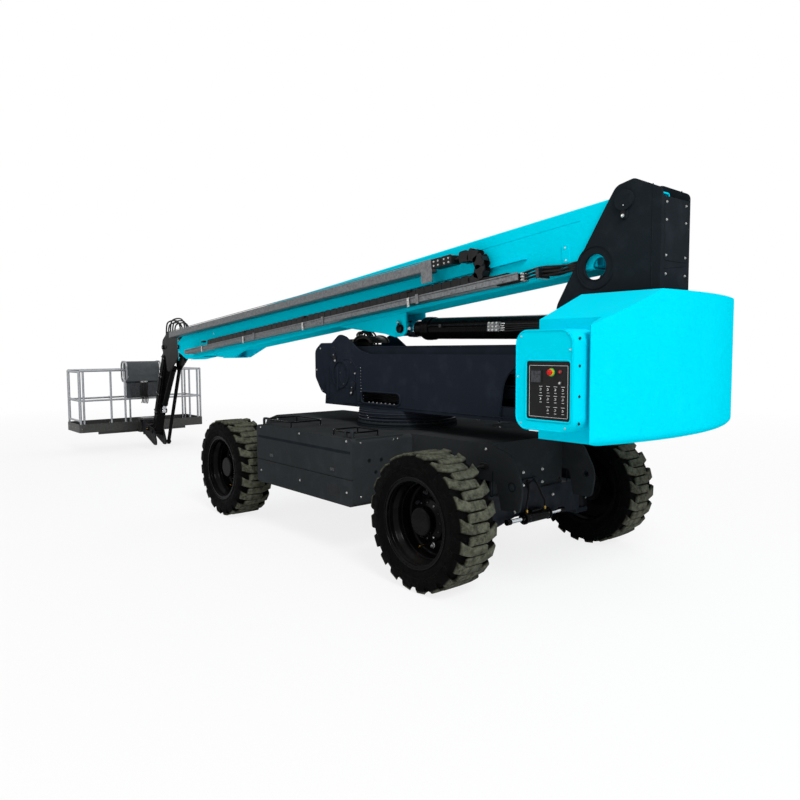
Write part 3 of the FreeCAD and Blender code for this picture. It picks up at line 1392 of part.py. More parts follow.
def make_platform_floor():
    """The tray of the platform with its toe boards, floor beams and the bracket round the rotator."""
    floor = Piece("platform_floor")
    rear, front, half = platform_rear, platform_front, d.platform_half_width
    corner = d.platform_corner
    gauge = d.toe_gauge
    floor.pad("XY", d.platform_bottom, floor_top, rectangle(rear, -half, front, half, corner))
    floor.pad("XY", floor_top, toe_top, rectangle(rear, -half, front, half, corner),
              rectangle(rear + gauge, gauge - half, front - gauge, half - gauge, corner - gauge))
    beam = d.floor_beam
    for x in (rear + 60, front - 60 - beam):
        floor.pad("XY", d.platform_bottom - beam, d.platform_bottom,
                  rectangle(x, -d.floor_beam_half_length, x + beam, d.floor_beam_half_length))
    near = rotator_x + d.rotator_radius + d.rotator_gap
    floor.pad("XZ", -120, 120, rectangle(near, d.platform_bottom - beam, rear + 60, d.platform_bottom - 1))
    floor.pad("XZ", -120, 120, rectangle(near, d.platform_bottom - 2, rear + 1, rotator_top + 6 + 34))
    floor.pad("XZ", -120, 120, rectangle(rotator_x - 80, rotator_top + 6, near + 1, rotator_top + 6 + 34))


def make_rails():
    """The guard rails, standing inside the toe boards and parted at the platform's corners."""
    r = d.rail_radius
    inset = r + d.toe_gauge + d.rail_gap
    rear, front = platform_rear + inset, platform_front - inset
    half = d.platform_half_width - inset
    top = d.rail_top - r
    left_post, right_post = d.rear_post_left, -d.rear_post_right
    back = Piece("platform_rear_rail")
    posts = [half, half - r * 3, left_post, console_posts[0], console_posts[1], right_post, r * 3 - half]
    back.pad("XY", floor_top, top, *[Circle(rear, y, post_radius) for y in posts])
    back.pad("XZ", console_posts[0], half, Circle(rear, top, r))
    back.pad("XZ", r * 2 - half, console_posts[1], Circle(rear, top, r))
    back.pad("XZ", r * 2 - half, half, Circle(rear, d.mid_rail, r - 2))
    loop_rear = platform_rear - d.console_lead - d.guard_loop_reach
    loop_front = loop_rear + d.console_depth + d.guard_loop_reach * 2
    gauge = d.guard_loop_gauge
    loop = rectangle(loop_rear, d.console_bottom - 10, loop_front, d.console_top + 10, 110)
    hole = rectangle(loop_rear + gauge, d.console_bottom - 10 + gauge, loop_front - gauge,
                     d.console_top + 10 - gauge, 110 - gauge)
    for y in console_posts:
        back.pad("XZ", y - gauge / 2, y + gauge / 2, loop, hole)
    face = Piece("platform_front_rail")
    face.pad("XY", floor_top, top, *[Circle(front, y, post_radius) for y in (half, 0, r * 3 - half)])
    face.pad("XZ", r * 2 - half, half, Circle(front, top, r), Circle(front, d.mid_rail, r - 2))
    side = Piece("platform_right_rail")
    side.pad("XY", floor_top, top, Circle(rear, -half, post_radius), Circle(front, -half, post_radius))
    side.pad("YZ", rear, front, Circle(-half, top, r), Circle(-half, d.mid_rail, r - 2))


def make_gate():
    """The gate's frame, which turns on its rear tube beside the post of the rear rail."""
    r = d.rail_radius
    inset = r + d.toe_gauge + d.rail_gap
    rear, front = platform_rear + inset, platform_front - inset
    y = d.platform_half_width - inset
    top = d.rail_top - r
    gate = Piece("platform_gate")
    low = toe_top + d.gate_lift
    hinge = rear + r * 2 + d.gate_gap
    latch = front - r * 2 - d.gate_gap
    gate.pad("XY", low, top, Circle(hinge, y, post_radius), Circle(latch, y, post_radius))
    gate.pad("YZ", hinge, latch, *[Circle(y, z, r - 2) for z in (low + r, d.mid_rail, top - r)])


def make_console():
    """The control console: a crowned cover over a dark lower part, with a panel below."""
    console = Piece("platform_console")
    rear = platform_rear - d.console_lead
    front = rear + d.console_depth
    crown = d.console_crown
    low, top = d.console_bottom, d.console_top
    console.pad("XZ", -d.console_right, d.console_left,
                [(rear + 25, low, 20), (front - 25, low, 20), (front, low + 130, 40), (front, top, crown),
                 (rear, top, crown), (rear, low + 130, 40)])
    panel = platform_rear + 10
    console.pad("XZ", -d.console_right, d.console_left,
                rectangle(panel, d.mid_rail + d.rail_radius, panel + d.console_panel_gauge, low + 1))


def make_all():
    make_chassis_frame()
    make_power_boxes()
    make_axle("front_axle", front_axle_x, 1)
    make_axle("rear_axle", rear_axle_x, -1)
    make_wheels()
    make_turntable_frame()
    make_front_cap()
    make_counterweight()
    make_control_box()
    make_riser()
    make_riser_link()
    make_jack("riser_cylinder", riser_jack_foot, riser_jack_eye, d.riser_jack_barrel_radius,
              d.riser_jack_rod_radius, d.riser_jack_stub, d.jack_pin_radius, jack_lug_inner - d.jack_side_gap)
    make_upright()
    make_jack("boom_cylinder", boom_jack_foot, boom_jack_eye, d.boom_jack_barrel_radius,
              d.boom_jack_rod_radius, d.boom_jack_stub, d.boom_jack_pin_radius,
              boom_lug_inner - d.jack_side_gap)
    make_boom_base()
    make_mid_section()
    make_fly_section()
    make_trays()
    make_chain()
    make_nose()
    make_jib()
    make_jib_link()
    make_jack("jib_cylinder", jib_jack_foot, jib_jack_eye, d.jib_jack_barrel_radius,
              d.jib_jack_rod_radius, d.jib_jack_stub, d.jib_jack_pin_radius, d.jib_jack_half_width)
    make_platform_support()
    make_platform_floor()
    make_rails()
    make_gate()
    make_console()


def write_all():
    doc.recompute()
    for thing in doc.Objects:
        if any(state in ("Invalid", "Error") for state in thing.State):
            raise RuntimeError(f"{thing.Label} failed: {thing.State}")
    os.makedirs("parts", exist_ok=True)
    for piece in pieces:
        shape = piece.body.Shape
        if shape.isNull() or not shape.isValid():
            raise RuntimeError(f"{piece.body.Label} has no valid shape")
        shape.exportStep(f"parts/{piece.body.Label}.step")
        print(piece.body.Label, len(shape.Solids), round(shape.Volume / 1e9, 4))
    print(len(pieces), "sub-parts")


make_all()
write_all()
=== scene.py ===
import json
import math

import bmesh
import bpy
from mathutils import Matrix, Vector


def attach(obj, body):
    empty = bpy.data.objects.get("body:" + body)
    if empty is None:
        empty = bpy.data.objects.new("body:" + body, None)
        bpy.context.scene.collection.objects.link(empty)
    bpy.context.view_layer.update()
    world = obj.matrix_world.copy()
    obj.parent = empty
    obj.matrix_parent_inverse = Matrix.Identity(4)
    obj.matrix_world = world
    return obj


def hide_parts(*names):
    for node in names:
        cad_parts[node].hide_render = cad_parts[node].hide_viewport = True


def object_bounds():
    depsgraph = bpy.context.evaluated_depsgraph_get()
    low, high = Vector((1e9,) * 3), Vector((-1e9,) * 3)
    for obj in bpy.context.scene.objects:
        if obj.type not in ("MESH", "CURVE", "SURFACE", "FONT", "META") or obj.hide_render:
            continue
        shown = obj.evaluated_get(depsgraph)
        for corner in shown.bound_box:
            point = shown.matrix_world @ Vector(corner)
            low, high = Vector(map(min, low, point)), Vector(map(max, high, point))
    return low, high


# An articulated telescopic boom lift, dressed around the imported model.
# Shapes are given in millimetres in a local frame: HOME stands on the ground under the middle of
# the wheelbase, BOOM, JIB and the cylinder frames have their X along the piece and Z square to it.

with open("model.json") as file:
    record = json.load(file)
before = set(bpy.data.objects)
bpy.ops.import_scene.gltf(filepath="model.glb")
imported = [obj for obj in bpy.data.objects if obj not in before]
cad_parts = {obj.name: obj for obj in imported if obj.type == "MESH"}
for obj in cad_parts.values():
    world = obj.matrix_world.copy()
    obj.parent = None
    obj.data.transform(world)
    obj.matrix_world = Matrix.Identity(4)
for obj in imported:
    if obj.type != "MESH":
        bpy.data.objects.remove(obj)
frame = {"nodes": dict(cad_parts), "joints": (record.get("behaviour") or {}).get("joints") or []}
CAD_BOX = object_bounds()
NODES = frame["nodes"]
JOINTS = {j["name"]: j for j in frame["joints"]}
SCALE = 0.001
WHEELS = [n for n in JOINTS if n.endswith("_wheel_roll")]
SIDES = (1, -1)
HANDS = (("left", 1), ("right", -1))
ENDS = (("front", 1), ("rear", -1))
X, Y, Z = (1, 0, 0), (0, 1, 0), (0, 0, 1)


def pivot(joint):
    """A joint's place, in metres."""
    return Vector(JOINTS[joint]["pos_m"])


WHEELBASE_MIDDLE = sum(pivot(n).x for n in WHEELS) / len(WHEELS)


def local(origin, along=X):
    """A frame in millimetres at a place in metres, with X along a direction that has no Y."""
    along = Vector(along).normalized()
    up = along.cross(Vector(Y))
    turn = Matrix((along, Y, up)).transposed().to_4x4()
    return Matrix.Translation(origin) @ turn @ Matrix.Scale(SCALE, 4)


HOME = local((WHEELBASE_MIDDLE, 0, 0))
BOOM = local(pivot("boom_lift"), JOINTS["telescope_mid"]["axis"])
JIB = local(pivot("jib_lift"), pivot("platform_level") - pivot("jib_lift"))


def at_joint(name):
    """A joint's place in the home frame."""
    return HOME.inverted() @ pivot(name)


def cylinder_frame(name):
    """A cylinder's own frame, with its X from the foot to the rod's eye."""
    return local(pivot(name + "_cylinder_turn"), JOINTS[name + "_cylinder_stroke"]["axis"])


def span(node, place=HOME):
    """The lowest and highest corner of a CAD node in a local frame."""
    inverse = place.inverted()
    points = [inverse @ v.co for v in NODES[node].data.vertices]
    return [Vector([pick(p[i] for p in points) for i in range(3)]) for pick in (min, max)]


def add_object(name, data):
    """A new object in the scene."""
    thing = bpy.data.objects.new(name, data)
    bpy.context.scene.collection.objects.link(thing)
    return thing


# ---------------------------------------------------------------- shapes

AXES = {"X": (1, 2, 0), "Y": (0, 2, 1), "Z": (0, 1, 2)}
SHARP_ANGLE = math.radians(38.0)
WELD_DIP = 0.86


def spread(low, high, count):
    """Evenly spaced numbers, both ends included."""
    return [low + (high - low) * i / (count - 1) for i in range(count)]


def angles(count, start=0.0):
    """Even steps round a full turn."""
    return [start + 2 * math.pi * i / count for i in range(count)]


def circle(count, radius=1.0, start=0.0):
    """Points round a circle."""
    return [(radius * math.cos(a), radius * math.sin(a)) for a in angles(count, start)]


def rounded(u0, v0, u1, v1, radius, steps=5):
    """The outline of a rectangle with round corners."""
    points = []
    for i, (u, v) in enumerate(((u1 - radius, v1 - radius), (u0 + radius, v1 - radius),
                                (u0 + radius, v0 + radius), (u1 - radius, v0 + radius))):
        for k in range(steps + 1):
            a = math.pi / 2 * (i + k / steps)
            points.append((u + radius * math.cos(a), v + radius * math.sin(a)))
    return points


def inset(outline, depth):
    """The outline moved inwards; it may run either way round."""
    count = len(outline)
    following = outline[1:] + outline[:1]
    area = sum(a[0] * b[1] - b[0] * a[1] for a, b in zip(outline, following))
    side = 1 if area > 0 else -1
    moved = []
    for i in range(count):
        a, b, c = (Vector(outline[(i + k) % count]) for k in (-1, 0, 1))
        n1 = Vector((a.y - b.y, b.x - a.x)).normalized() * side
        n2 = Vector((b.y - c.y, c.x - b.x)).normalized() * side
        mitre = (n1 + n2) / max(0.3, 1 + n1.dot(n2))
        moved.append(tuple(b + mitre * depth))
    return moved


def smooth_path(points, steps=6):
    """A Catmull-Rom line through the points."""
    p = [Vector(q) for q in points]
    p = [p[0] * 2 - p[1]] + p + [p[-1] * 2 - p[-2]]
    line = []
    for a, b, c, e in zip(p, p[1:], p[2:], p[3:]):
        for k in range(steps):
            t = k / steps
            line.append(0.5 * (2 * b + (c - a) * t + (2 * a - 5 * b + 4 * c - e) * t * t
                               + (3 * b - a - 3 * c + e) * t ** 3))
    return line + [p[-2]]


class Piece:
    """One piece of the look, gathered as a mesh in a local frame in millimetres."""

    def __init__(self, material, place=HOME):
        self.mesh = bmesh.new()
        self.place = place
        self.materials = []
        self.paint(material)

    def paint(self, material):
        """What is added from here on has this material."""
        if material not in self.materials:
            self.materials.append(material)
        self.index = self.materials.index(material)

    def loft(self, rings, closed=False):
        """A skin over rings with the same number of points, with caps at its ends unless closed."""
        count = len(rings[0])
        verts = [self.mesh.verts.new(p) for ring in rings for p in ring]
        faces = []
        for r in range(len(rings) if closed else len(rings) - 1):
            a, b = r * count, (r + 1) % len(rings) * count
            for i in range(count):
                k = (i + 1) % count
                faces.append((a + i, a + k, b + k, b + i))
        if not closed:
            faces.append(tuple(range(count - 1, -1, -1)))
            faces.append(tuple(range(len(verts) - count, len(verts))))
        for f in faces:
            self.mesh.faces.new([verts[i] for i in f]).material_index = self.index

    def slab(self, outline, axis, low, high, bevel=2.0):
        """An outline given a thickness along an axis, from one place to another, with its edges broken."""
        u, v, w = AXES[axis]
        low, high = sorted((low, high))
        bevel = min(bevel, (high - low) / 2.01)
        rings = []
        for place, depth in ((low, bevel), (low + bevel, 0), (high - bevel, 0), (high, bevel)):
            ring = []
            for q in inset(outline, depth) if depth else outline:
                p = [0, 0, 0]
                p[u], p[v], p[w] = q[0], q[1], place
                ring.append(p)
            rings.append(ring)
        self.loft(rings)

    def plate(self, outline, y, side, low, high, bevel=2.0):
        """A slab on a side face, from low to high as counted outwards from y."""
        self.slab(outline, "Y", y + side * low, y + side * high, bevel)

    def box(self, corner, opposite, bevel=3.0):
        """A block between two opposite corners."""
        (x0, x1), (y0, y1), z = (sorted(pair) for pair in zip(corner, opposite))
        self.slab([(x0, y0), (x1, y0), (x1, y1), (x0, y1)], "Z", *z, bevel)

    def lathe(self, start, axis, profile, sides=24, turn=0.0, closed=False):
        """A turned shape: the profile is (distance along the axis, radius)."""
        axis = Vector(axis).normalized()
        side = axis.cross(Vector((0.3, 0.2, 1)) if abs(axis.z) < 0.9 else Vector(X)).normalized()
        other = axis.cross(side)
        self.loft([[Vector(start) + axis * along + (side * c + other * s) * radius
                    for c, s in circle(sides, start=turn)] for along, radius in profile], closed)

    def rod(self, start, end, radius, sides=20, bevel=1.5):
        """A round bar with broken ends."""
        length = (Vector(end) - Vector(start)).length
        bevel = min(bevel, length / 2.01, radius / 2)
        neck = radius - bevel
        self.lathe(start, Vector(end) - Vector(start),
                   [(0, neck), (bevel, radius), (length - bevel, radius), (length, neck)], sides)

    def ring(self, centre, axis, radius, gauge, sides=40, section=10):
        """A round wire bent to a circle."""
        profile = [(s, radius + c) for c, s in circle(section, gauge)]
        self.lathe(centre, axis, profile, sides, closed=True)

    def tube(self, points, radius, sides=10, steps=6, closed=False):
        """A hose or bent bar through the points."""
        line = smooth_path(points, steps) if steps > 1 else [Vector(p) for p in points]
        rings, side = [], None
        for i, p in enumerate(line):
            run = (line[min(i + 1, len(line) - 1)] - line[max(i - 1, 0)]).normalized()
            if side is None:
                side = run.cross(Vector((0.2, 0.1, 1)) if abs(run.z) < 0.9 else Vector(X))
            side = (side - run * side.dot(run)).normalized()
            other = run.cross(side)
            size = radius(i) if callable(radius) else radius
            rings.append([p + (side * c + other * s) * size for c, s in circle(sides)])
        self.loft(rings, closed)

    def loop(self, outline, y, radius, sides=8):
        """A closed bar along an outline that stands across Y."""
        self.tube([(u, y, v) for u, v in outline], radius, sides, 1, closed=True)

    def weld(self, start, end, radius=4.0):
        """A bead with its ripples along a joint."""
        count = max(3, int((Vector(end) - Vector(start)).length / (radius * 1.2)))
        line = [Vector(start).lerp(Vector(end), i / count) for i in range(count + 1)]
        self.tube(line, lambda i: radius * (1 if i % 2 else WELD_DIP), sides=6, steps=1)

    def weld_ring(self, centre, axis, radius, gauge=4.0):
        """A rippled bead round a circle."""
        axis = Vector(axis).normalized()
        side = axis.orthogonal().normalized()
        other = axis.cross(side)
        rings = []
        for i, (c, s) in enumerate(circle(int(2 * math.pi * radius / (gauge * 1.4)))):
            out = side * c + other * s
            size = gauge * (1 if i % 2 else WELD_DIP)
            rings.append([Vector(centre) + out * (radius + u) + axis * v for u, v in circle(6, size)])
        self.loft(rings, closed=True)

    def bolt(self, at, axis, size=12.0, washer=True):
        """A hexagon head on its washer; size is the thread's diameter."""
        axis = Vector(axis).normalized()
        at = Vector(at) - axis * 1.0
        thick = size * 0.16 if washer else 0
        if washer:
            self.lathe(at, axis, [(0, size * 1.1), (thick, size * 1.1), (thick + 0.6, size * 1.02)], 20)
        self.lathe(at + axis * thick, axis,
                   [(0, size * 0.86), (size * 0.55, size * 0.86), (size * 0.66, size * 0.72),
                    (size * 0.62, size * 0.3)], 6, 0.3)

    def bolts(self, places, axis, size, washer=True):
        """Bolts of one size that look the same way."""
        for at in places:
            self.bolt(at, axis, size, washer)

    def dome(self, at, axis, radius, rise, sides=18):
        """A low round head, as on a rivet, a knob or a plug."""
        self.lathe(Vector(at) - Vector(axis).normalized(), axis,
                   [(0, radius)] + [(rise * math.sin(a) + 1, max(0.4, radius * math.cos(a)))
                                    for a in (0, 0.5, 0.9, 1.2, 1.45)], sides)

    def done(self, name, body, replaces=(), at=None):
        """Makes the object, in metres, riding on its body; at is its own origin, where it has one."""
        bmesh.ops.recalc_face_normals(self.mesh, faces=self.mesh.faces)
        mesh = bpy.data.meshes.new(name)
        self.mesh.to_mesh(mesh)
        self.mesh.free()
        mesh.transform(self.place)
        for m in self.materials:
            mesh.materials.append(m)
        mesh.shade_smooth()
        mesh.set_sharp_from_angle(angle=SHARP_ANGLE)
        thing = add_object(name, mesh)
        if at:
            thing.matrix_world = at
        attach(thing, body)
        if replaces:
            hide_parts(*replaces)


# ---------------------------------------------------------------- materials

DUST = (108, 104, 96)


def srgb(colour):
    """A colour as seen on a screen, 0 to 255, as Blender's linear numbers."""
    return tuple((c / 255 / 12.92) if c < 10.3 else ((c / 255 + 0.055) / 1.055) ** 2.4 for c in colour)


class Graph:
    """Adds nodes to a node tree."""

    def __init__(self, tree):
        self.tree = tree

    def new(self, kind, output, **inputs):
        """Adds a node, links or sets its inputs by name or number, and gives back one of its outputs."""
        node = self.tree.nodes.new(kind)
        for key, value in inputs.items():
            spot = node.inputs[int(key[1:]) if key[1:].isdigit() else key.replace("_", " ")]
            if isinstance(value, bpy.types.NodeSocket):
                self.tree.links.new(value, spot)
            else:
                spot.default_value = value
        return node.outputs[output]

    def math(self, operation, a, b):
        """One sum with two values."""
        out = self.new("ShaderNodeMath", 0, _0=a, _1=b)
        out.node.operation = operation
        return out

    def ramp(self, value, low, high, start=0.0, end=1.0):
        """Runs from start to end as the value goes from low to high."""
        return self.new("ShaderNodeMapRange", 0, Value=value, From_Min=low, From_Max=high,
                        To_Min=start, To_Max=end)


class Surface(Graph):
    """Builds a node material around one Principled shader."""

    def __init__(self, name, colour, rough, metal=0.0, specular=0.5):
        self.material = bpy.data.materials.new(name)
        self.material.use_nodes = True
        super().__init__(self.material.node_tree)
        self.shader = self.tree.nodes["Principled BSDF"]
        self.shader.inputs["Metallic"].default_value = metal
        self.shader.inputs["Specular IOR Level"].default_value = specular
        self.shader.inputs["Roughness"].default_value = rough
        self.colour = self.new("ShaderNodeRGB", "Color")
        self.colour.default_value = (*srgb(colour), 1)
        self.normal = None
        self.place = self.new("ShaderNodeTexCoord", "Object")

    def noise(self, scale, detail=4.0, stretch=None, rough=0.55):
        """Noise in the object's own frame, in metres."""
        place = self.place
        if stretch:
            place = self.new("ShaderNodeMapping", 0, Vector=place, Scale=stretch)
        return self.new("ShaderNodeTexNoise", 0, Vector=place, Scale=scale, Detail=detail, Roughness=rough)

    def blend(self, factor, colour):
        """Mixes another colour over what is there."""
        node = self.tree.nodes.new("ShaderNodeMix")
        node.data_type = "RGBA"
        self.tree.links.new(factor, node.inputs["Factor"])
        self.tree.links.new(self.colour, node.inputs[6])
        node.inputs[7].default_value = (*srgb(colour), 1)
        self.colour = node.outputs[2]

    def mottle(self, scale, colour, most=1.0, low=0.45, high=0.7):
        """Cloudy patches of another colour."""
        self.blend(self.ramp(self.noise(scale), low, high, 0.0, most), colour)

    def dust(self, most):
        """Dust that lies on what faces up."""
        normal = self.new("ShaderNodeNewGeometry", "Normal")
        up = self.new("ShaderNodeSeparateXYZ", "Z", Vector=normal)
        up = self.ramp(up, 0.35, 0.95, 0.0, most)
        self.blend(self.math("MULTIPLY", up, self.ramp(self.noise(6.0, 6.0), 0.3, 0.65)), DUST)

    def soft_edges(self, radius, wear_and_highlight=None, most=0.6):
        """Edges with rounded normals that catch the light; where a colour is given, they are also painted
        lighter, partly as wear and partly as a painted highlight.
        """
        self.normal = self.new("ShaderNodeBevel", 0, Radius=radius)
        self.normal.node.samples = 3
        # The edge mask lightens the colour: partly wear, partly a painted highlight.
        if wear_and_highlight:
            true = self.new("ShaderNodeNewGeometry", "True Normal")
            dot = self.new("ShaderNodeVectorMath", 1, _0=self.normal, _1=true)
            dot.node.operation = "DOT_PRODUCT"
            edge = self.ramp(dot, 0.985, 0.86, 0.0, most)
            self.blend(self.math("MULTIPLY", edge, self.ramp(self.noise(25.0), 0.4, 0.6)), wear_and_highlight)

    def finish(self, low, high, scale, height, strength, distance):
        """Uneven roughness and a fine relief, and the material as it is then."""
        rough = self.ramp(self.noise(scale, 5.0), 0.3, 0.7, low, high)
        relief = self.new("ShaderNodeBump", 0, Height=height, Strength=strength, Distance=distance,
                          Normal=self.normal)
        for value, name in ((rough, "Roughness"), (relief, "Normal"), (self.colour, "Base Color")):
            self.tree.links.new(value, self.shader.inputs[name])
        return self.material


def enamel(name, colour, shade, light, specular=0.0, low=0.4, high=0.55, dust=0.04, wear_and_highlight=0.4):
    """Sprayed paint with a little orange peel, softly clouded, dusty on top, and painted lighter along its
    edges as wear and as a painted highlight.
    """
    s = Surface(name, colour, low, specular=specular)
    s.mottle(1.3, shade, 0.5, 0.4, 0.7)
    s.mottle(7.0, light, 0.22, 0.5, 0.75)
    s.dust(dust)
    s.soft_edges(0.004, light, wear_and_highlight)
    return s.finish(low, high, 9.0, s.noise(500.0, 1.0), 0.03, 0.0003)


def cast(name, colour, light):
    """A coarser coat over cast or forged metal."""
    s = Surface(name, colour, 0.4, specular=0.1)
    s.mottle(4.0, light, 0.4)
    s.dust(0.18)
    # Edges painted lighter: partly wear, partly a painted highlight.
    s.soft_edges(0.005, light, 0.5)
    return s.finish(0.4, 0.6, 9.0, s.noise(160.0, 4.0), 0.25, 0.001)


def bare(name, colour, dull, low, high, stretch=None, scale=60.0, strength=0.12):
    """Bare metal with a brushed or spangled face."""
    s = Surface(name, colour, low, metal=1.0)
    s.mottle(scale, dull, 0.7, 0.4, 0.62)
    s.dust(0.1)
    s.soft_edges(0.002)
    return s.finish(low, high, scale, s.noise(scale * 5, 3.0, stretch), strength, 0.0004)


def plastic(name, colour, light, low=0.35, high=0.5, grain=900.0):
    """Moulded plastic or rubber with a fine grain."""
    s = Surface(name, colour, low, specular=0.15)
    s.mottle(9.0, light, 0.4)
    s.dust(0.12)
    s.soft_edges(0.0015)
    return s.finish(low, high, 20.0, s.noise(grain, 2.0), 0.12, 0.0004)


def tyre_rubber():
    """Black sidewalls and a dusty worn tread; the dust depends on the distance from the wheel's axis."""
    s = Surface("tyre_rubber", (6, 6, 6), 0.6, specular=0.02)
    apart = s.new("ShaderNodeSeparateXYZ", "X", Vector=s.place)
    height = apart.node.outputs["Z"]
    square = s.math("ADD", s.math("MULTIPLY", apart, apart), s.math("MULTIPLY", height, height))
    radius = s.math("SQRT", square, 0.5)
    tread = s.ramp(radius, 0.503, 0.521)
    s.mottle(14.0, (11, 11, 11), 0.6)
    grit = s.ramp(s.noise(22.0, 8.0, rough=0.7), 0.36, 0.62, 0.25, 1.0)
    s.blend(s.math("MULTIPLY", tread, grit), (92, 93, 80))
    s.blend(s.math("MULTIPLY", s.ramp(s.noise(60.0, 6.0), 0.55, 0.75), 0.12), (46, 46, 42))
    # Edges painted lighter: partly wear, partly a painted highlight.
    s.soft_edges(0.004, (60, 60, 55), 0.2)
    return s.finish(0.5, 0.8, 30.0, s.noise(260.0, 6.0), 0.35, 0.0012)


cyan = enamel("cyan_enamel", (0, 212, 236), (0, 204, 228), (14, 218, 240), 0.0, 0.2, 0.32, 0.03, 0.2)
charcoal = enamel("charcoal_enamel", (30, 35, 39), (25, 29, 33), (52, 58, 64))
chassis_grey = enamel("chassis_enamel", (47, 50, 52), (39, 42, 44), (66, 70, 74), dust=0.06)
navy = enamel("navy_enamel", (34, 39, 48), (29, 33, 41), (52, 59, 72), low=0.35, high=0.5)
gloss_black = enamel("gloss_black_enamel", (7, 7, 8), (5, 5, 6), (34, 35, 38), 0.05, 0.14, 0.26, 0.05, 0.3)
cast_black = cast("cast_black", (13, 14, 16), (38, 40, 44))
cast_blue = cast("cast_blue_grey", (27, 31, 38), (54, 60, 68))
galvanised = bare("galvanised_steel", (176, 178, 182), (128, 131, 136), 0.3, 0.48)
aluminium = bare("tray_aluminium", (118, 120, 122), (92, 94, 96), 0.35, 0.5, (0.04, 1, 1), 40.0, 0.3)
bright = bare("bright_zinc", (205, 206, 204), (150, 150, 146), 0.2, 0.35)
chrome = bare("hard_chrome", (215, 217, 220), (190, 192, 196), 0.06, 0.14)
brass = bare("brass", (200, 164, 84), (150, 118, 52), 0.24, 0.4)
dark_steel = bare("dark_steel", (70, 71, 74), (44, 45, 48), 0.35, 0.5)
toe_metal = bare("toe_board_metal", (82, 83, 81), (62, 63, 61), 0.35, 0.5)
black_plastic = plastic("black_plastic", (16, 16, 17), (34, 34, 36))
hose = plastic("black_hose", (15, 15, 16), (36, 36, 37), 0.42, 0.6, 500.0)
grey_plastic = plastic("grey_plastic", (64, 68, 71), (84, 88, 92), 0.4, 0.55)
red_plastic = plastic("red_plastic", (196, 24, 20), (226, 60, 48), 0.2, 0.3)
green_plastic = plastic("green_plastic", (40, 160, 70), (80, 190, 100), 0.25, 0.35)
yellow_plastic = plastic("yellow_plastic", (232, 190, 20), (246, 214, 70), 0.25, 0.35)
pale_plastic = plastic("pale_plastic", (206, 208, 206), (226, 228, 226), 0.3, 0.45)
rubber = tyre_rubber()

# Each CAD node has the first material with a word that its name holds.
PAINTS = (
    (cyan, ("counterweight", "ground_control_box", "boom_base", "boom_mid", "boom_fly")),
    (rubber, ("_tyre",)),
    (gloss_black, ("_rim", "cylinder_barrel", "boom_nose", "jib_arm", "jib_link")),
    (chrome, ("cylinder_rod",)),
    (cast_black, ("_knuckle", "platform_support")),
    (cast_blue, ("_axle",)),
    (chassis_grey, ("chassis_frame", "power_boxes")),
    (navy, ("riser_boom", "riser_link", "turntable_frame", "front_cap")),
    (aluminium, ("_cable_tray",)),
    (black_plastic, ("cable_chain",)),
    (grey_plastic, ("platform_console",)),
    (toe_metal, ("platform_floor",)),
    (galvanised, ("platform_",)),
    (charcoal, ("",)),
)
for name, thing in NODES.items():
    thing.data.materials.clear()
    thing.data.materials.append(next(m for m, words in PAINTS if any(word in name for word in words)))

# ---------------------------------------------------------------- wheels, axles, chassis

TYRE_LOW, TYRE_HIGH = span("front_left_tyre")
TYRE_RADIUS = (TYRE_HIGH.z - TYRE_LOW.z) / 2
TYRE_HALF = (TYRE_HIGH.y - TYRE_LOW.y) / 2
LUG_COUNT = 20
LUG_DEPTH = 33.0
LUG_NARROW = 33.5
LUG_WIDE = 45.0
LUG_SWEEP = 47.0
LUG_TOE = 447.0
LUG_MIDDLE = (LUG_SWEEP + LUG_WIDE - LUG_NARROW) / 2
LUG_REACH = LUG_MIDDLE + LUG_NARROW
LUG_TOP = math.sqrt(TYRE_RADIUS ** 2 - LUG_REACH ** 2)
BEAD_RADIUS = 331.0
DISC_Y, HUB_Y, CAP_Y = -50, 37, 59
NUT_CIRCLE = 218
KINGPIN_Y = 800
FRAME_SIDE = 480
BOX_LOW, BOX_HIGH = span("power_boxes")
DECK = BOX_HIGH.z - 75


def around(angle, radius, y):
    """A point round the wheel's axis; angles run from +X down to -Z."""
    return Vector((radius * math.cos(angle), y, -radius * math.sin(angle)))


def add_lug(piece, angle, side):
    """One lug, straight at the middle of the tread and swept back to a wide foot on the sidewall."""
    knee = TYRE_HALF - 118
    tip = TYRE_HALF - 288
    bend = (knee + TYRE_HALF) / 2
    plan = [(-LUG_NARROW, tip), (LUG_NARROW - 10, tip), (LUG_NARROW, tip + 14), (LUG_NARROW + 2, knee - 12),
            (LUG_SWEEP * 0.5 + LUG_WIDE - 4, bend), (LUG_SWEEP + LUG_WIDE, TYRE_HALF),
            (LUG_SWEEP - LUG_WIDE, TYRE_HALF), (LUG_SWEEP * 0.5 - LUG_WIDE + 6, bend),
            (-LUG_NARROW - 1, knee)]
    out = around(angle + LUG_MIDDLE / TYRE_RADIUS, 1, 0)
    along = around(angle + LUG_MIDDLE / TYRE_RADIUS + math.pi / 2, 1, 0)
    rings = []
    foot = LUG_TOP - LUG_DEPTH + 3
    for height, depth in ((LUG_TOE, -5), (foot, -4), (LUG_TOP - 7, 0), (LUG_TOP - 2, 2.5), (LUG_TOP, 7)):
        heel = 10 + 10 * (height - LUG_TOE) / (LUG_TOP - LUG_TOE)
        ring = []
        for u, y in inset(plan, depth) if depth else plan:
            if y > TYRE_HALF - 12:
                y -= heel
            ring.append(along * (u - LUG_MIDDLE) + out * height + Vector((0, min(y, TYRE_HALF) * side, 0)))
        rings.append(ring)
    piece.loft(rings)


def add_sidewall_block(piece, angle, side):
    """The short raised block between two lugs."""
    foot = ((-0.05, 424, -6), (0.05, 424, -6), (0.035, 452, -9), (-0.035, 452, -9))
    head = ((-0.045, 427, 0), (0.045, 427, 0), (0.03, 449, -2), (-0.03, 449, -2))
    piece.loft([[around(angle + turn, radius, side * (TYRE_HALF + dy)) for turn, radius, dy in ring]
                for ring in (foot, head)])


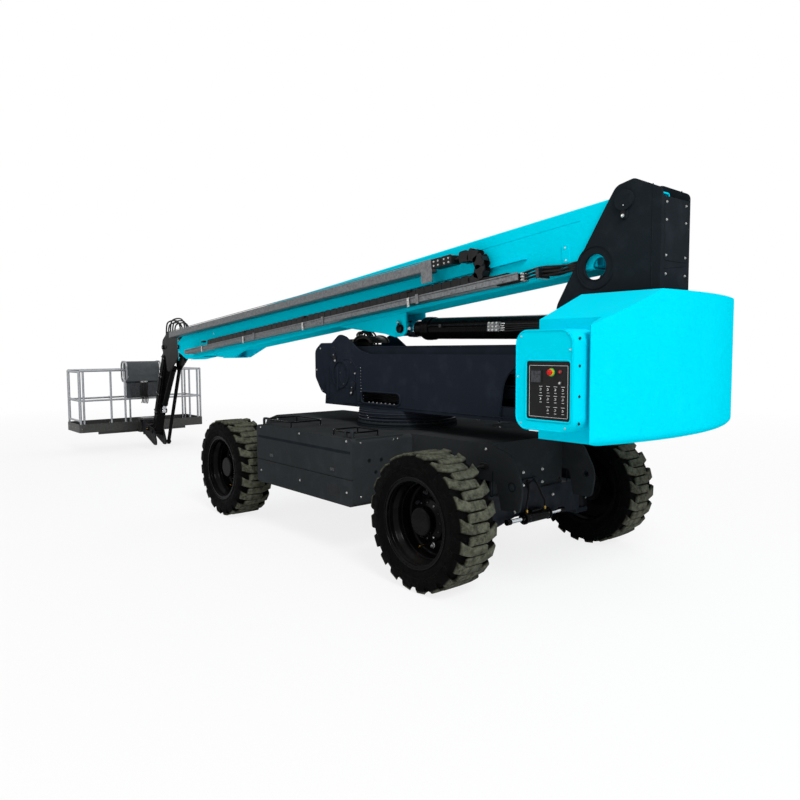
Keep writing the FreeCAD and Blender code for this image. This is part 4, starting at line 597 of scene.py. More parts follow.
def tyre_profile():
    """The carcass from bead to bead as (distance along the axis, radius)."""
    half = [(157, BEAD_RADIUS), (160, 338), (171, 346), (176, 352), (178, 353), (180, 359), (178.5, 361),
            (183, 374), (187, 392), (189, 408), (192, 410), (192.3, 416), (190, 418), (190.5, 432),
            (189, 446), (185, 462), (178, 478), (169, 490), (158, 496), (120, 497.5), (40, 498)]
    return [(-y, r) for y, r in half] + [(y, r) for y, r in reversed(half)]


def make_tyre(wheel):
    """A traction tyre with two rows of hooked lugs, standing on a lug's corner as the solid does."""
    piece = Piece(rubber, Matrix.Scale(SCALE, 4))
    piece.lathe((0, 0, 0), Y, tyre_profile(), 120, closed=True)
    standing = math.atan2(LUG_REACH, LUG_TOP) - LUG_MIDDLE / TYRE_RADIUS
    step = 2 * math.pi / LUG_COUNT
    for angle in angles(LUG_COUNT, standing):
        for side, lug, block in ((1, 0, 0.8), (-1, 0.5, 0.3)):
            add_lug(piece, angle + step * lug, side)
            add_sidewall_block(piece, angle + step * block, side)
    piece.done(f"{wheel}_tyre_tread", f"{wheel}_wheel", [f"{wheel}_tyre"],
               Matrix.Translation(pivot(f"{wheel}_wheel_roll")))


def make_wheel_details(wheel, side):
    """Nuts, hub bolts, valve and bead seats of one wheel; a few nuts and bolts are made bright as painted
    glints.
    """
    piece = Piece(dark_steel, local(pivot(f"{wheel}_wheel_roll")))
    axis = (0, side, 0)

    def at(angle, radius, y):
        return around(angle, radius, side * y)

    # A few nuts and bolts in each ring are bright metal among dark ones: painted glints.
    for i, a in enumerate(angles(10, 0.2)):
        piece.paint(bright if i in (2, 7) else dark_steel)
        piece.bolt(at(a, NUT_CIRCLE, DISC_Y), axis, 20)
        piece.rod(at(a, NUT_CIRCLE, DISC_Y + 10), at(a, NUT_CIRCLE, DISC_Y + 26), 9, 12)
    for i, a in enumerate(angles(12)):
        piece.paint(dark_steel if i % 4 else bright)
        piece.bolt(at(a, 138, HUB_Y - 8), axis, 9, washer=False)
    for i, a in enumerate(angles(6, 0.4)):
        piece.paint(bright if i == 1 else dark_steel)
        piece.bolt(at(a, 78, CAP_Y), axis, 8)
    piece.paint(bright)
    piece.dome((0, side * CAP_Y, 0), axis, 16, 7)
    piece.paint(brass)
    piece.rod(at(1.1, 262, DISC_Y), at(1.1, 262, DISC_Y + 48), 6, 12)
    piece.rod(at(1.1, 262, DISC_Y + 40), at(1.1, 262, DISC_Y + 60), 8, 12)
    piece.paint(gloss_black)
    for y, radius, gauge in ((176, 345, 6), (150, 318, 4), (40, 291, 5)):
        piece.ring((0, side * y, 0), Y, radius, gauge, 72, 8)
    piece.weld_ring((0, side * (DISC_Y + 2), 0), Y, 268, 6)
    piece.weld_ring((0, side * (DISC_Y + 1), 0), Y, 168, 4)
    for a in angles(5, math.pi / 5):
        piece.ring(at(a, 246, DISC_Y - 1), axis, 15, 3, 20, 6)
    piece.done(f"{wheel}_wheel_fittings", f"{wheel}_wheel")


def make_knuckle_details(wheel, side):
    """Kingpin caps, steering arm bolts and a grease nipple on one knuckle."""
    name = f"{wheel}_knuckle"
    low, high = span(name)
    hub = at_joint(f"{wheel}_wheel_roll")
    y = KINGPIN_Y * side
    piece = Piece(dark_steel)
    for z, up in ((high.z, 1), (low.z, -1)):
        piece.lathe((hub.x, y, z - up * 3), (0, 0, up), [(0, 34), (8, 34), (11, 30)], 24)
        piece.bolts([(hub.x + u, y + v, z + up * 8) for u, v in circle(3, 21)], (0, 0, up), 7, washer=False)
    piece.paint(bright)
    piece.dome((hub.x, y, high.z + 8), Z, 5, 8, 10)
    for way in SIDES:
        piece.bolts([(hub.x + way * 112, y - side * 28, hub.z + dz) for dz in (-70, 0, 70)], (way, 0, 0), 9)
    piece.done(f"{name}_fittings", name)


def make_axle_details(end, out):
    """Cover bolts, steering cylinder and its hoses on the outward side of one axle."""
    low, high = span(f"{end}_axle")
    face = high.x if out > 0 else low.x
    x, z = face + out * 42, low.z + 92
    piece = Piece(cast_blue)
    for y, v in ((116, 800), (-133, 690), (116, 690), (-133, 800), (-357, 690), (357, 690), (-280, 560),
                 (280, 560)):
        piece.paint(bright if (y + v) % 3 else dark_steel)
        piece.bolt((face, y, v), (out, 0, 0), 12)
    piece.paint(gloss_black)
    piece.rod((x, -150, z), (x, 150, z), 44, 28, 4)
    piece.box((face, -60, z - 20), (x + out * 8, 60, z + 60), 5)
    for side in SIDES:
        y = side * 118
        piece.paint(gloss_black)
        piece.lathe((x, side * 146, z), (0, side, 0), [(0, 50), (16, 50), (18, 46)], 28)
        piece.rod((x, side * 322, z), (x, side * 372, z), 25, 16)
        piece.paint(chrome)
        piece.rod((x, side * 160, z), (x, side * 330, z), 18, 20)
        piece.paint(dark_steel)
        piece.bolts([(x + out * 40, side * 120, z + k * 16) for k in SIDES], (out, 0, 0), 8)
        piece.paint(brass)
        piece.rod((x, y, z + 40), (x, y, z + 66), 10, 6)
        piece.rod((x, y, z + 60), (x, y, z + 74), 8, 12)
        piece.paint(hose)
        piece.tube([(x, y, z + 70), (x, y, z + 110), (x - out * 10, side * 90, z + 170),
                    (x - out * 30, side * 60, z + 250), (x - out * 60, side * 40, z + 300)], 9)
    piece.done(f"{end}_steering_cylinder", "chassis")


def make_box_details(hand, side):
    """Bolts, a raised strip painted darker as the reflection on the side's bend, cable grommets, lock
    buttons and vent ribs of one power box.
    """
    low, high = BOX_LOW, BOX_HIGH
    y = side * high.y
    piece = Piece(bright)
    for x in (low.x + 86, (low.x + high.x) / 2 + 8, high.x - 86):
        piece.bolts([(x, y, z) for z in (1043, 600)], (0, side, 0), 9)
    screws = ((91, 1030), (455, 1030), (500, 1032), (91, 560), (500, 560))
    for x, way in ((low.x, -1), (high.x, 1)):
        piece.paint(bright)
        piece.bolts([(x, y - side * dy, z) for dy, z in screws], (way, 0, 0), 8)
        for k, (dy, z) in enumerate(((180, 870), (312, 865), (250, 762))):
            piece.paint(charcoal)
            piece.ring((x, y - side * dy, z), X, 17 - k, 2.2, 24, 6)
            piece.paint(black_plastic)
            piece.lathe((x - way * 2, y - side * dy, z), (way, 0, 0),
                        [(0, 15 - k), (2.6, 15 - k), (3, 13)], 20)
    # A raised strip along the side's bend, painted darker than the box: a painted reflection of the sky.
    piece.paint(charcoal)
    seam = [(low.x + 30, 935), (high.x - 30, 935), (high.x - 30, 960), (low.x + 30, 960)]
    piece.plate(seam, y, side, -3, 1.5, 1)
    piece.weld((low.x + 2, y - side * 40, 1065), (low.x + 2, y - side * 560, 1065), 3)
    piece.paint(dark_steel)
    for x in (low.x + 300, high.x - 300):
        piece.plate(rounded(x - 34, 762, x + 34, 790, 6), y, side, -2, 4, 1.5)
        piece.dome((x, y + side * 4, 776), (0, side, 0), 8, 3)
    piece.paint(black_plastic)
    for x in spread(low.x + 190, low.x + 366, 9):
        piece.plate(rounded(x, 545, x + 9, 640, 4), y, side, -2, 1.2, 0.8)
    piece.done(f"{hand}_power_box_fittings", "chassis")


def make_deck_rails():
    """Thin black guard hoops on the deck over the power boxes, clear of the turntable."""
    outer = 1080
    hoops = ((BOX_HIGH.x - 560, BOX_HIGH.x - 40, 690, 55), (BOX_LOW.x + 80, BOX_LOW.x + 420, 780, 45))
    piece = Piece(gloss_black)
    for side in SIDES:
        for x0, x1, inner, rise in hoops:
            corners = [Vector((x, y * side, DECK + rise))
                       for x, y in ((x0, inner), (x1, inner), (x1, outer), (x0, outer))]
            edges = zip(corners, corners[1:] + corners[:1])
            hoop = [a.lerp(b, t) for a, b in edges for t in (0.12, 0.5, 0.88)]
            piece.tube(hoop, 7, 8, 1, closed=True)
            for k, corner in enumerate(corners):
                x, y, z = corner.lerp(corners[k - 2], 0.06)
                piece.rod((x, y, DECK - 20), (x, y, z), 6, 10)
                piece.lathe((x, y, DECK), Z, [(0, 14), (3, 14), (4, 12)], 16)
    piece.done("deck_guard_rails", "chassis")


def make_chassis_details():
    """Bolts, tie-down rims, cable exits and weld beads on the frame's ends and the pedestal."""
    low, high = span("chassis_frame")
    piece = Piece(bright)
    for end, tip in ((1, high.x), (-1, low.x)):
        for side in SIDES:
            y = side * FRAME_SIDE
            axis = (0, side, 0)
            x = tip - end * 397
            piece.paint(bright)
            piece.bolt((tip - end * 376, y, DECK - 45), axis, 11)
            piece.bolt((tip - end * 70, y, 560), axis, 12)
            piece.paint(charcoal)
            piece.ring((tip - end * 100, y, 750), axis, 34, 5, 32, 8)
            piece.weld((tip - end * 300, y + side * 2, 640), (tip - end * 300, y + side * 2, 850), 4)
            piece.paint(black_plastic)
            piece.plate(rounded(x - 52, 852, x + 52, 906, 26), y, side, -2, 8)
            piece.dome((x, y + side * 8, 879), axis, 13, 9)
            piece.paint(hose)
            piece.tube([(x, y + side * 6, 879), (x - end * 30, y + side * 34, 868),
                        (x - end * 84, y + side * 34, 800), (x - end * 100, y + side * 6, 720)], 10)
    slew = at_joint("turntable_slew").x
    piece.paint(dark_steel)
    piece.bolts([(slew + u, v, DECK + 59) for u, v in circle(36, 478)], Z, 9, washer=False)
    piece.paint(charcoal)
    piece.weld_ring((slew, 0, DECK + 2), Z, 503, 5)
    for rise in (22, 42):
        piece.ring((slew, 0, DECK + rise), Z, 499, 7, 96, 8)
    piece.done("chassis_fittings", "chassis")


for end, out in ENDS:
    for hand, side in HANDS:
        wheel = f"{end}_{hand}"
        make_tyre(wheel)
        make_wheel_details(wheel, side)
        make_knuckle_details(wheel, side)
    make_axle_details(end, out)
for hand, side in HANDS:
    make_box_details(hand, side)
make_deck_rails()
make_chassis_details()

# ---------------------------------------------------------------- turntable, riser, upright

RISER_PIN = at_joint("riser_lift")
UPRIGHT_PIN = at_joint("upright_level")
BOOM_PIN = at_joint("boom_lift")
LINK_PIN = at_joint("riser_link_turn")
CYLINDER_FOOT = at_joint("boom_cylinder_turn")
SLEW = at_joint("turntable_slew")
TURNTABLE_FLOOR = 1268
TURNTABLE_SIDE = 350
RISER_SIDE = 250
UPRIGHT_SIDE = 190
RING_RADIUS = 497


def pin_cap(piece, pin, y, side, radius, tail):
    """A pin's end with its keeper plate and two bolts; tail points where the keeper runs."""
    axis = (0, side, 0)
    at = Vector((pin.x, y, pin.z))
    piece.paint(cast_black)
    piece.lathe((pin.x, y - side, pin.z), axis,
                [(0, radius), (10, radius), (14, radius - 5), (11, radius - 12), (11, 9)], 36)
    keep = Vector((tail[0], 0, tail[1])).normalized()
    across = Vector((-keep.z, 0, keep.x))
    outline = ((radius * 0.5, 17), (radius + 48, 17), (radius + 62, 8), (radius + 62, -8),
               (radius + 48, -17), (radius * 0.5, -17))
    corners = [at + keep * u + across * v for u, v in outline]
    piece.plate([(p.x, p.z) for p in corners], y, side, 3, 17)
    face = at + Vector((0, side * 17, 0))
    piece.paint(bright)
    piece.bolt(face + keep * (radius + 40), axis, 11)
    piece.dome(face + keep * (radius * 0.55), axis, 6, 6)


def add_turntable_side(piece, side):
    """Pin ends, ribs, the cover over the link's bearing and the access window with what shows in it."""
    low, high = span("turntable_frame")
    y = side * TURNTABLE_SIDE
    axis = (0, side, 0)
    pin_cap(piece, RISER_PIN, y, side, 58, (-0.4, -1))
    pin_cap(piece, LINK_PIN, y, side, 40, (0.2, -1))
    piece.paint(navy)
    for x, z0, z1 in ((RISER_PIN.x - 430, 1420, 1660), (RISER_PIN.x - 80, 1400, 1650)):
        rib = [(x - 7, z0), (x + 7, z0), (x + 7, z1 - 30), (x, z1), (x - 7, z1 - 30)]
        piece.plate(rib, y, side, -1, 26, 3)
        for way in SIDES:
            piece.weld((x + way * 11, y + side, z0), (x + way * 11, y + side, z1 - 30))
    cover = Vector((RISER_PIN.x - 240, y, 1580))
    piece.ring(cover, Y, 150, 5, 64, 8)
    piece.ring(cover, Y, 62, 4, 40, 8)
    piece.loop(rounded(-430, 1285, 190, 1405, 52, 6), y + side * 4, 9)
    piece.weld((low.x + 900, y + side * 3, 1272), (high.x - 350, y + side * 3, 1272), 5)
    # One bolt of the cover's ring is bright among dark ones: a painted glint.
    for i, (u, v) in enumerate(circle(6, 132, math.pi)):
        piece.paint(dark_steel if i else bright)
        piece.bolt(cover + Vector((u, 0, v)), axis, 9)
    piece.paint(bright)
    for i in range(9):
        piece.dome((RISER_PIN.x - 470, y, 1400 + i * 30), axis, 4.5, 3, 10)
        piece.bolt((-390 + i * 68, y - side * 70, 1286), Z, 14)
    piece.paint(cast_blue)
    piece.box((-440, y - side * 110, TURNTABLE_FLOOR), (200, y - side * 30, 1286))
    piece.paint(hose)
    for i in range(7):
        z = 1300 + i * 17
        piece.tube([(-760, side * 150, z), (-200, side * (128 + 8 * (i % 2)), z - 4 + i),
                    (420, side * 150, z)], 11)


def make_turntable_details():
    """Both sides, the slewing ring's ridges and grease fittings, and its drive motor."""
    piece = Piece(navy)
    for side in SIDES:
        add_turntable_side(piece, side)
        piece.paint(bright)
        for i in range(5):
            x = SLEW.x - 40 + 0.4 * RING_RADIUS * math.cos(1.2 + 0.05 * (i % 2))
            piece.dome((x, side * 0.97 * RING_RADIUS, 1226 - i * 22), (0, side, 0), 6, 7, 12)
    piece.paint(cast_blue)
    for z, radius in ((1146, 489), (1176, 482), (1206, 489), (1228, 485)):
        piece.ring((SLEW.x, 0, z), Z, radius, 7, 96, 8)
    x, y = SLEW.x - 640, 200
    piece.paint(cast_black)
    piece.lathe((x, y, TURNTABLE_FLOOR), Z,
                [(0, 88), (20, 88), (22, 74), (150, 74), (154, 60), (210, 60), (216, 50), (250, 50)], 36)
    piece.paint(bright)
    piece.bolts([(x + u, y + v, TURNTABLE_FLOOR + 20) for u, v in circle(8, 80)], Z, 8)
    piece.done("turntable_fittings", "turntable")


def make_top_fittings():
    """Valve block with brass unions, hoses and the crescent cover on the turntable's peak."""
    piece = Piece(cast_black)
    x = RISER_PIN.x + 40
    top = RISER_PIN.z + 90
    piece.box((x - 60, -150, top - 20), (x + 90, 60, top + 50), 6)
    piece.box((x - 120, -60, top - 24), (x - 40, 150, top + 28), 6)
    for i in range(5):
        at = Vector((x - 40 + i * 26, -60 + (i % 2) * 46, top + 48))
        piece.paint(brass)
        piece.rod(at, at + Vector((0, 0, 20)), 9, 6)
        piece.rod(at + Vector((0, 0, 16)), at + Vector((0, 0, 34)), 7, 12)
        piece.paint(hose)
        steps = ((0, 0, 30), (0, 0, 56), (-70, 10, 90 - i * 4), (-190, 16, 60), (-250, 20, -30),
                 (-270, 24, -160))
        piece.tube([at + Vector(step) for step in steps], 9.5)
    piece.paint(bright)
    piece.bolts([(x - 104 + u, 20 + v, top + 27) for u in (0, 46) for v in (0, 90)], Z, 9)

    def arc(wide, tall, rise):
        turns = spread(0, math.pi, 15)
        return [(x - 230 - wide * math.cos(a), top + rise + tall * math.sin(a)) for a in turns]

    piece.paint(black_plastic)
    for y in (-120, 120):
        piece.tube([(u, y, v) for u, v in arc(150, 74, 6)], 11, 10, 2)
    piece.slab(arc(150, 74, 6) + arc(122, 52, 2)[::-1], "Y", -118, 118)
    piece.done("turntable_top_fittings", "turntable")


def make_cap_details():
    """Bolts round the front cap's edge, its hinge and latch."""
    low, high = span("front_cap")
    piece = Piece(bright)
    for side in SIDES:
        piece.bolts([(high.x - 30, side * high.y, low.z + 292), (high.x - 130, side * high.y, low.z + 60),
                     (high.x - 110, side * high.y, high.z - 60)], (0, side, 0), 8)
    piece.paint(navy)
    for y in (-210, 210):
        piece.rod((high.x - 3, y, low.z + 250), (high.x - 3, y, low.z + 340), 9, 14)
    piece.paint(dark_steel)
    piece.box((high.x - 6, -40, low.z + 276), (high.x + 3, 40, low.z + 312))
    piece.done("front_cap_fittings", "turntable")


def make_riser_details():
    """Beads along the riser's seams."""
    piece = Piece(navy)
    for y in (RISER_SIDE, -RISER_SIDE):
        for z in (RISER_PIN.z + 46, span("riser_boom")[0].z + 12):
            piece.weld((UPRIGHT_PIN.x + 200, y, z), (RISER_PIN.x - 460, y, z))
    piece.done("riser_fittings", "riser")


def make_upright_details():
    """Pin ends, rims, creases and edge strips on both sides, and the back plate with its screws."""
    low, high = span("upright")
    half = 150
    seam = BOOM_PIN.z - 470
    piece = Piece(charcoal)
    for side in SIDES:
        y = side * UPRIGHT_SIDE
        pin_cap(piece, BOOM_PIN, y, side, 68, (0.05, -1))
        pin_cap(piece, UPRIGHT_PIN, y, side, 52, (0.3, 1))
        pin_cap(piece, CYLINDER_FOOT, y, side, 44, (-0.5, 1))
        window = Vector((BOOM_PIN.x + 235, y, BOOM_PIN.z - 440))
        piece.paint(charcoal)
        piece.weld_ring(window, Y, 162)
        piece.ring(window, Y, 97, 5, 48, 8)
        piece.weld((window.x - 30, y, window.z - 190), (window.x - 150, y, window.z - 470))
        piece.weld((low.x + 66, y, low.z + 520), (low.x + 66, y, high.z - 60))
    cover_edge = [(-half, seam + 8), (half, seam - 26), (half, seam - 20), (-half, seam + 14)]
    piece.slab(cover_edge, "X", low.x - 2.5, low.x + 2, 1)
    piece.slab(rounded(-half, seam + 30, half, high.z - 150, 18), "X", low.x - 3, low.x + 2, 1.5)
    piece.paint(bright)
    heights = (high.z - 185, (high.z + seam) / 2, seam + 66, seam - 60, low.z + 620)
    piece.bolts([(low.x - 3, y, z) for y in (-128, 128) for z in heights], (-1, 0, 0), 8)
    piece.done("upright_fittings", "upright")


def make_upright_hoses():
    """Hoses down the inside of the upright, held by three clamps."""
    back = span("upright")[0].x
    piece = Piece(hose)
    for y in spread(-60, 42, 4):
        piece.tube([(back + 70, y, 1660), (back + 46, y, 1900), (back + 46, y, 2260), (back + 52, y, 2560),
                    (back + 110, y, 2700)], 11)
    piece.paint(dark_steel)
    for z in (1800, 2150, 2500):
        for x0, x1 in ((22, 34), (56, 64)):
            piece.box((back + x0, -86, z), (back + x1, 66, z + 26))
    piece.done("upright_hoses", "upright")


def make_counterweight_details():
    """Lifting plugs, fixing bolts and the strap hinge of the counterweight."""
    low, high = span("counterweight")
    piece = Piece(black_plastic)
    for y, z in ((-640, high.z), (560, high.z - 150)):
        piece.dome(((low.x + high.x) / 2, y, z), Z, 22, 5, 24)
    piece.paint(cyan)
    piece.box((low.x + 330, low.y - 2, low.z + 380), (low.x + 470, low.y + 10, low.z + 405))
    piece.box((low.x + 455, low.y - 2, low.z + 392), (low.x + 470, low.y + 14, high.z - 180))
    piece.paint(dark_steel)
    for y in (-900, -600, -360, 360, 620):
        piece.bolt((high.x - 90, y, low.z), (0, 0, -1), 22)
        piece.bolt((high.x, y, low.z + 90), X, 18)
    piece.done("counterweight_fittings", "turntable")


def add_buttons(piece, stop):
    """The emergency stop on its collars, and two keys beside it."""
    for material, profile in ((green_plastic, [(0, 27), (3, 27), (4, 25)]),
                              (yellow_plastic, [(0, 21), (8, 21), (9, 19)]),
                              (red_plastic, [(0, 10), (14, 11), (16, 19), (22, 20), (27, 16), (29, 6)])):
        piece.paint(material)
        piece.lathe(stop, Y, profile, 36)
    for dz, top in ((4, red_plastic), (-66, bright)):
        key = stop + Vector((-70, 0, dz))
        piece.paint(dark_steel)
        piece.lathe(key, Y, [(0, 14), (4, 14), (5, 12)])
        piece.paint(top)
        piece.lathe(key, Y, [(0, 8), (12, 8), (14, 6)], 20)


def add_switch(piece, x, face, z):
    """A paddle switch with two dashes of plain print."""
    piece.paint(bright)
    piece.lathe((x, face, z), Y, [(0, 9), (5, 9), (6, 7)], 6)
    piece.paint(black_plastic)
    piece.rod((x, face + 4, z), (x + 3, face + 22, z + 7), 4.5, 12)
    piece.paint(pale_plastic)
    for half, dz in ((14, 18), (9, -23)):
        piece.slab(rounded(x - half, z + dz, x + half, z + dz + 3, 1), "Y", face - 1, face + 0.8, 0.4)


def make_control_box_details():
    """The ground controls: lid lip, screws, and the recessed panel with its print, buttons and switches."""
    low, high = span("ground_control_box")
    y = high.y
    face = y - 4
    x0, x1, z0, z1 = low.x + 18, high.x - 88, low.z + 68, high.z - 196
    piece = Piece(cyan)
    piece.loop(rounded(low.x + 8, low.z + 8, high.x - 8, high.z - 8, 86, 7), y + 1, 4.5)
    piece.loop(rounded(x0, z0, x1, z1, 24), y, 6)
    piece.paint(black_plastic)
    piece.slab(rounded(x0 + 3, z0 + 3, x1 - 3, z1 - 3, 22), "Y", y - 26, face, 3)
    piece.slab(rounded(x1 - 128, z1 - 150, x1 - 34, z1 - 60, 8), "Y", face - 2, face + 5)
    piece.paint(pale_plastic)
    piece.loop(rounded(x0 + 26, z0 + 24, x1 - 26, z1 - 34, 4, 3), y - 3.2, 1.4, 6)
    piece.paint(dark_steel)
    piece.slab(rounded(x1 - 120, z1 - 142, x1 - 42, z1 - 68, 5), "Y", face + 4, face + 6, 1)
    heights = (low.z + 60, low.z + 230, low.z + 420, high.z - 60)
    piece.bolts([(low.x, y - 60, z) for z in heights], (-1, 0, 0), 9)
    add_buttons(piece, Vector((x0 + (x1 - x0) * 0.43, face, z1 - 76)))
    for rise, count in ((70, 3), (140, 4), (200, 4)):
        for i in range(count):
            add_switch(piece, x0 + 62 + i * 58, face, z0 + rise)
    piece.paint(bright)
    for x, z in ((high.x - 46, high.z - 42), (low.x + 40, high.z - 30), (high.x - 44, low.z + 42),
                 (low.x + 60, low.z + 30), (high.x - 20, (low.z + high.z) / 2 + 20),
                 (low.x + 26, high.z - 130)):
        piece.bolt((x, y, z), Y, 6)
    piece.done("ground_control_fittings", "turntable")


make_turntable_details()
make_top_fittings()
make_cap_details()
make_riser_details()
make_upright_details()
make_upright_hoses()
make_counterweight_details()
make_control_box_details()

# ---------------------------------------------------------------- boom, trays, chain, nose, jib

BOOM_SIDE = 150
COLLAR_GAUGE = 14
RIVET_PITCH = 300
CHAIN_PITCH = 118.0
UPPER_TRAY_HEIGHT = 92.0
ANCHOR_LENGTH = 262.0


def sloped(degrees):
    """The boom's frame, turned so that its X rises towards the platform."""
    return BOOM @ Matrix.Rotation(-math.radians(degrees), 4, "Y")


UPPER_TRAY = sloped(1.0)
LOWER_TRAY = sloped(0.5)


def make_boom_details():
    """Collar bolts, cover plates and beads of the base section."""
    high = span("boom_base_section", BOOM)[1]
    collar = high.x - 40
    piece = Piece(cyan, BOOM)
    for side in SIDES:
        y = side * BOOM_SIDE
        axis = (0, side, 0)
        piece.paint(cyan)
        for z in (-40, -390):
            piece.weld((400, y, z), (high.x - 80, y, z), 3)
        piece.plate(rounded(520, -330, 590, -190, 12), y, side, -1, 4, 1.5)
        piece.paint(bright)
        piece.bolts([(555, y + side * 4, z) for z in (-212, -308)], axis, 7)
        collar_y = y if side > 0 else y - COLLAR_GAUGE
        piece.bolts([(collar, collar_y, z) for z in (-20, -120, -230, -340)], axis, 10)
    piece.bolts([(collar, y, 55 + COLLAR_GAUGE) for y in (-90, 0, 90)], Z, 10)
    piece.done("boom_base_fittings", "boom_base")


def make_boom_pin_details():
    """The lift cylinder's pin under the boom, with its keepers and the beads of its flange."""
    x, z, radius = 2590, -575, 44
    flange = span("boom_cylinder_rod", BOOM)[1].x
    piece = Piece(cyan, BOOM)
    for side in SIDES:
        y = side * BOOM_SIDE
        axis = (0, side, 0)
        piece.paint(cyan)
        piece.weld((flange + 20, side * 98, -452), (flange + 560, side * 98, -440))
        piece.paint(gloss_black)
        piece.lathe((x, y - side * 36, z), axis,
                    [(0, radius), (44, radius), (48, radius - 5), (44, radius - 14), (44, 8)], 36)
        piece.plate(rounded(x - 12, z + radius * 0.3, x + 12, z + radius + 34, 8), y, side, 2, 14)
        piece.paint(bright)
        piece.bolt((x, y + side * 14, z + radius + 18), axis, 10)
    piece.done("boom_cylinder_pin_fittings", "boom_base")


def make_section_details():
    """Bolts and beads at the fly section's end."""
    end = span("boom_fly_section", BOOM)[1].x
    piece = Piece(bright, BOOM)
    for side in SIDES:
        piece.paint(bright)
        piece.bolts([(end - 50, side * 108, z) for z in (-60, -150, -250, -340)], (0, side, 0), 10)
        piece.paint(cyan)
        piece.weld((end - 14, side * 109, -20), (end - 14, side * 109, -380))
    piece.done("fly_section_fittings", "boom_fly")


def make_lower_tray_details():
    """Clip brackets, the folded lip and a row of rivets on the lower tray."""
    low, high = span("lower_cable_tray", LOWER_TRAY)
    y = high.y
    lip = low.z + 66
    piece = Piece(aluminium, LOWER_TRAY)
    piece.tube([(low.x + 4, y - 3, lip), (high.x - 4, y - 3, lip)], 4, 8, 1)
    for x in (low.x + 1340, low.x + 3220, low.x + 4700, low.x + 6000):
        piece.paint(bright)
        piece.slab(rounded(x - 16, lip - 78, x + 16, lip + 8, 4), "Y", y - 2, y + 5, 1.5)
        piece.bolts([(x, y + 5, lip - 20), (x, y + 5, lip - 56)], Y, 8)
        piece.paint(black_plastic)
        piece.box((x - 34, y - 60, lip + 60), (x + 34, y - 6, lip + 84), 5)
    piece.paint(dark_steel)
    for i in range(1 + int((high.x - low.x - 220) / RIVET_PITCH)):
        piece.dome((low.x + 160 + i * RIVET_PITCH, y, lip - 40), Y, 5, 3, 12)
    piece.done("lower_tray_fittings", "boom_base")


def make_rear_hoses():
    """The bundle that leaves the lower tray's rear end and dips beside the boom, behind one clamp."""
    low, high = span("lower_cable_tray", LOWER_TRAY)
    lip = low.z + 66
    piece = Piece(hose, LOWER_TRAY)
    for i in range(6):
        y = high.y - 30 - (i // 3) * 30
        z = lip - 54 + (i % 3) * 24
        piece.paint(hose)
        piece.tube([(low.x + 240, y, z), (low.x + 10, y, z), (low.x - 160, y - 8, z + 6 + 4 * i),
                    (low.x - 330, 176 + (i % 2) * 12, z - 4 + 3 * i), (470, 166, z + 22 - 5 * i),
                    (430, 150, z + 24 - 5 * i)], 9)
        piece.paint(bright)
        piece.rod((low.x - 14, y, z), (low.x - 52, y - 2, z + 1), 12, 6)
    piece.paint(dark_steel)
    piece.box((low.x - 210, 152, lip - 70), (low.x - 180, high.y - 4, lip + 16), 4)
    piece.done("rear_hose_bundle", "boom_base")


def make_upper_tray_details():
    """Folded lips, rivets, and the block that holds the chain's end by two bolted plates."""
    low, high = span("upper_cable_tray", UPPER_TRAY)
    floor = high.z - UPPER_TRAY_HEIGHT
    piece = Piece(aluminium, UPPER_TRAY)
    for z in (high.z - 1, floor + 1):
        piece.tube([(low.x + 4, high.y - 4, z), (high.x - 4, high.y - 4, z)], 4, 8, 1)
    piece.paint(black_plastic)
    piece.box((low.x - ANCHOR_LENGTH, low.y + 14, floor + 6), (low.x + 4, high.y - 5, high.z - 6), 8)
    for x in (low.x - 62, low.x - 196):
        piece.paint(black_plastic)
        piece.slab(rounded(x - 64, floor + 4, x + 64, high.z - 2, 8), "Y", high.y - 6, high.y + 3)
        piece.paint(bright)
        piece.bolts([(x + dx, high.y + 3, floor + dz) for dx in (-28, 28) for dz in (26, 62)], Y, 8)
    piece.paint(dark_steel)
    for i in range(14):
        piece.dome((low.x + 460 + i * 420, high.y, (floor + high.z) / 2), Y, 5, 3, 12)
    piece.done("upper_tray_fittings", "boom_fly")


def chain_link(piece, at, turn, y0, y1, half):
    """One hollow link: two side plates and two cross bars."""
    along = Vector((math.cos(turn), math.sin(turn)))
    up = Vector((-math.sin(turn), math.cos(turn)))

    def placed(outline):
        return [tuple(at + along * u + up * w) for u, w in outline]

    length = CHAIN_PITCH / 2
    for y in (y0, y1 - 9):
        piece.slab(placed(rounded(-length + 2, -half, length - 2, half, 26)), "Y", y, y + 9, 2.5)
    for w in (-half + 5, half - 5):
        piece.slab(placed([(-22, w - 5), (22, w - 5), (22, w + 5), (-22, w + 5)]), "Y", y0, y1)


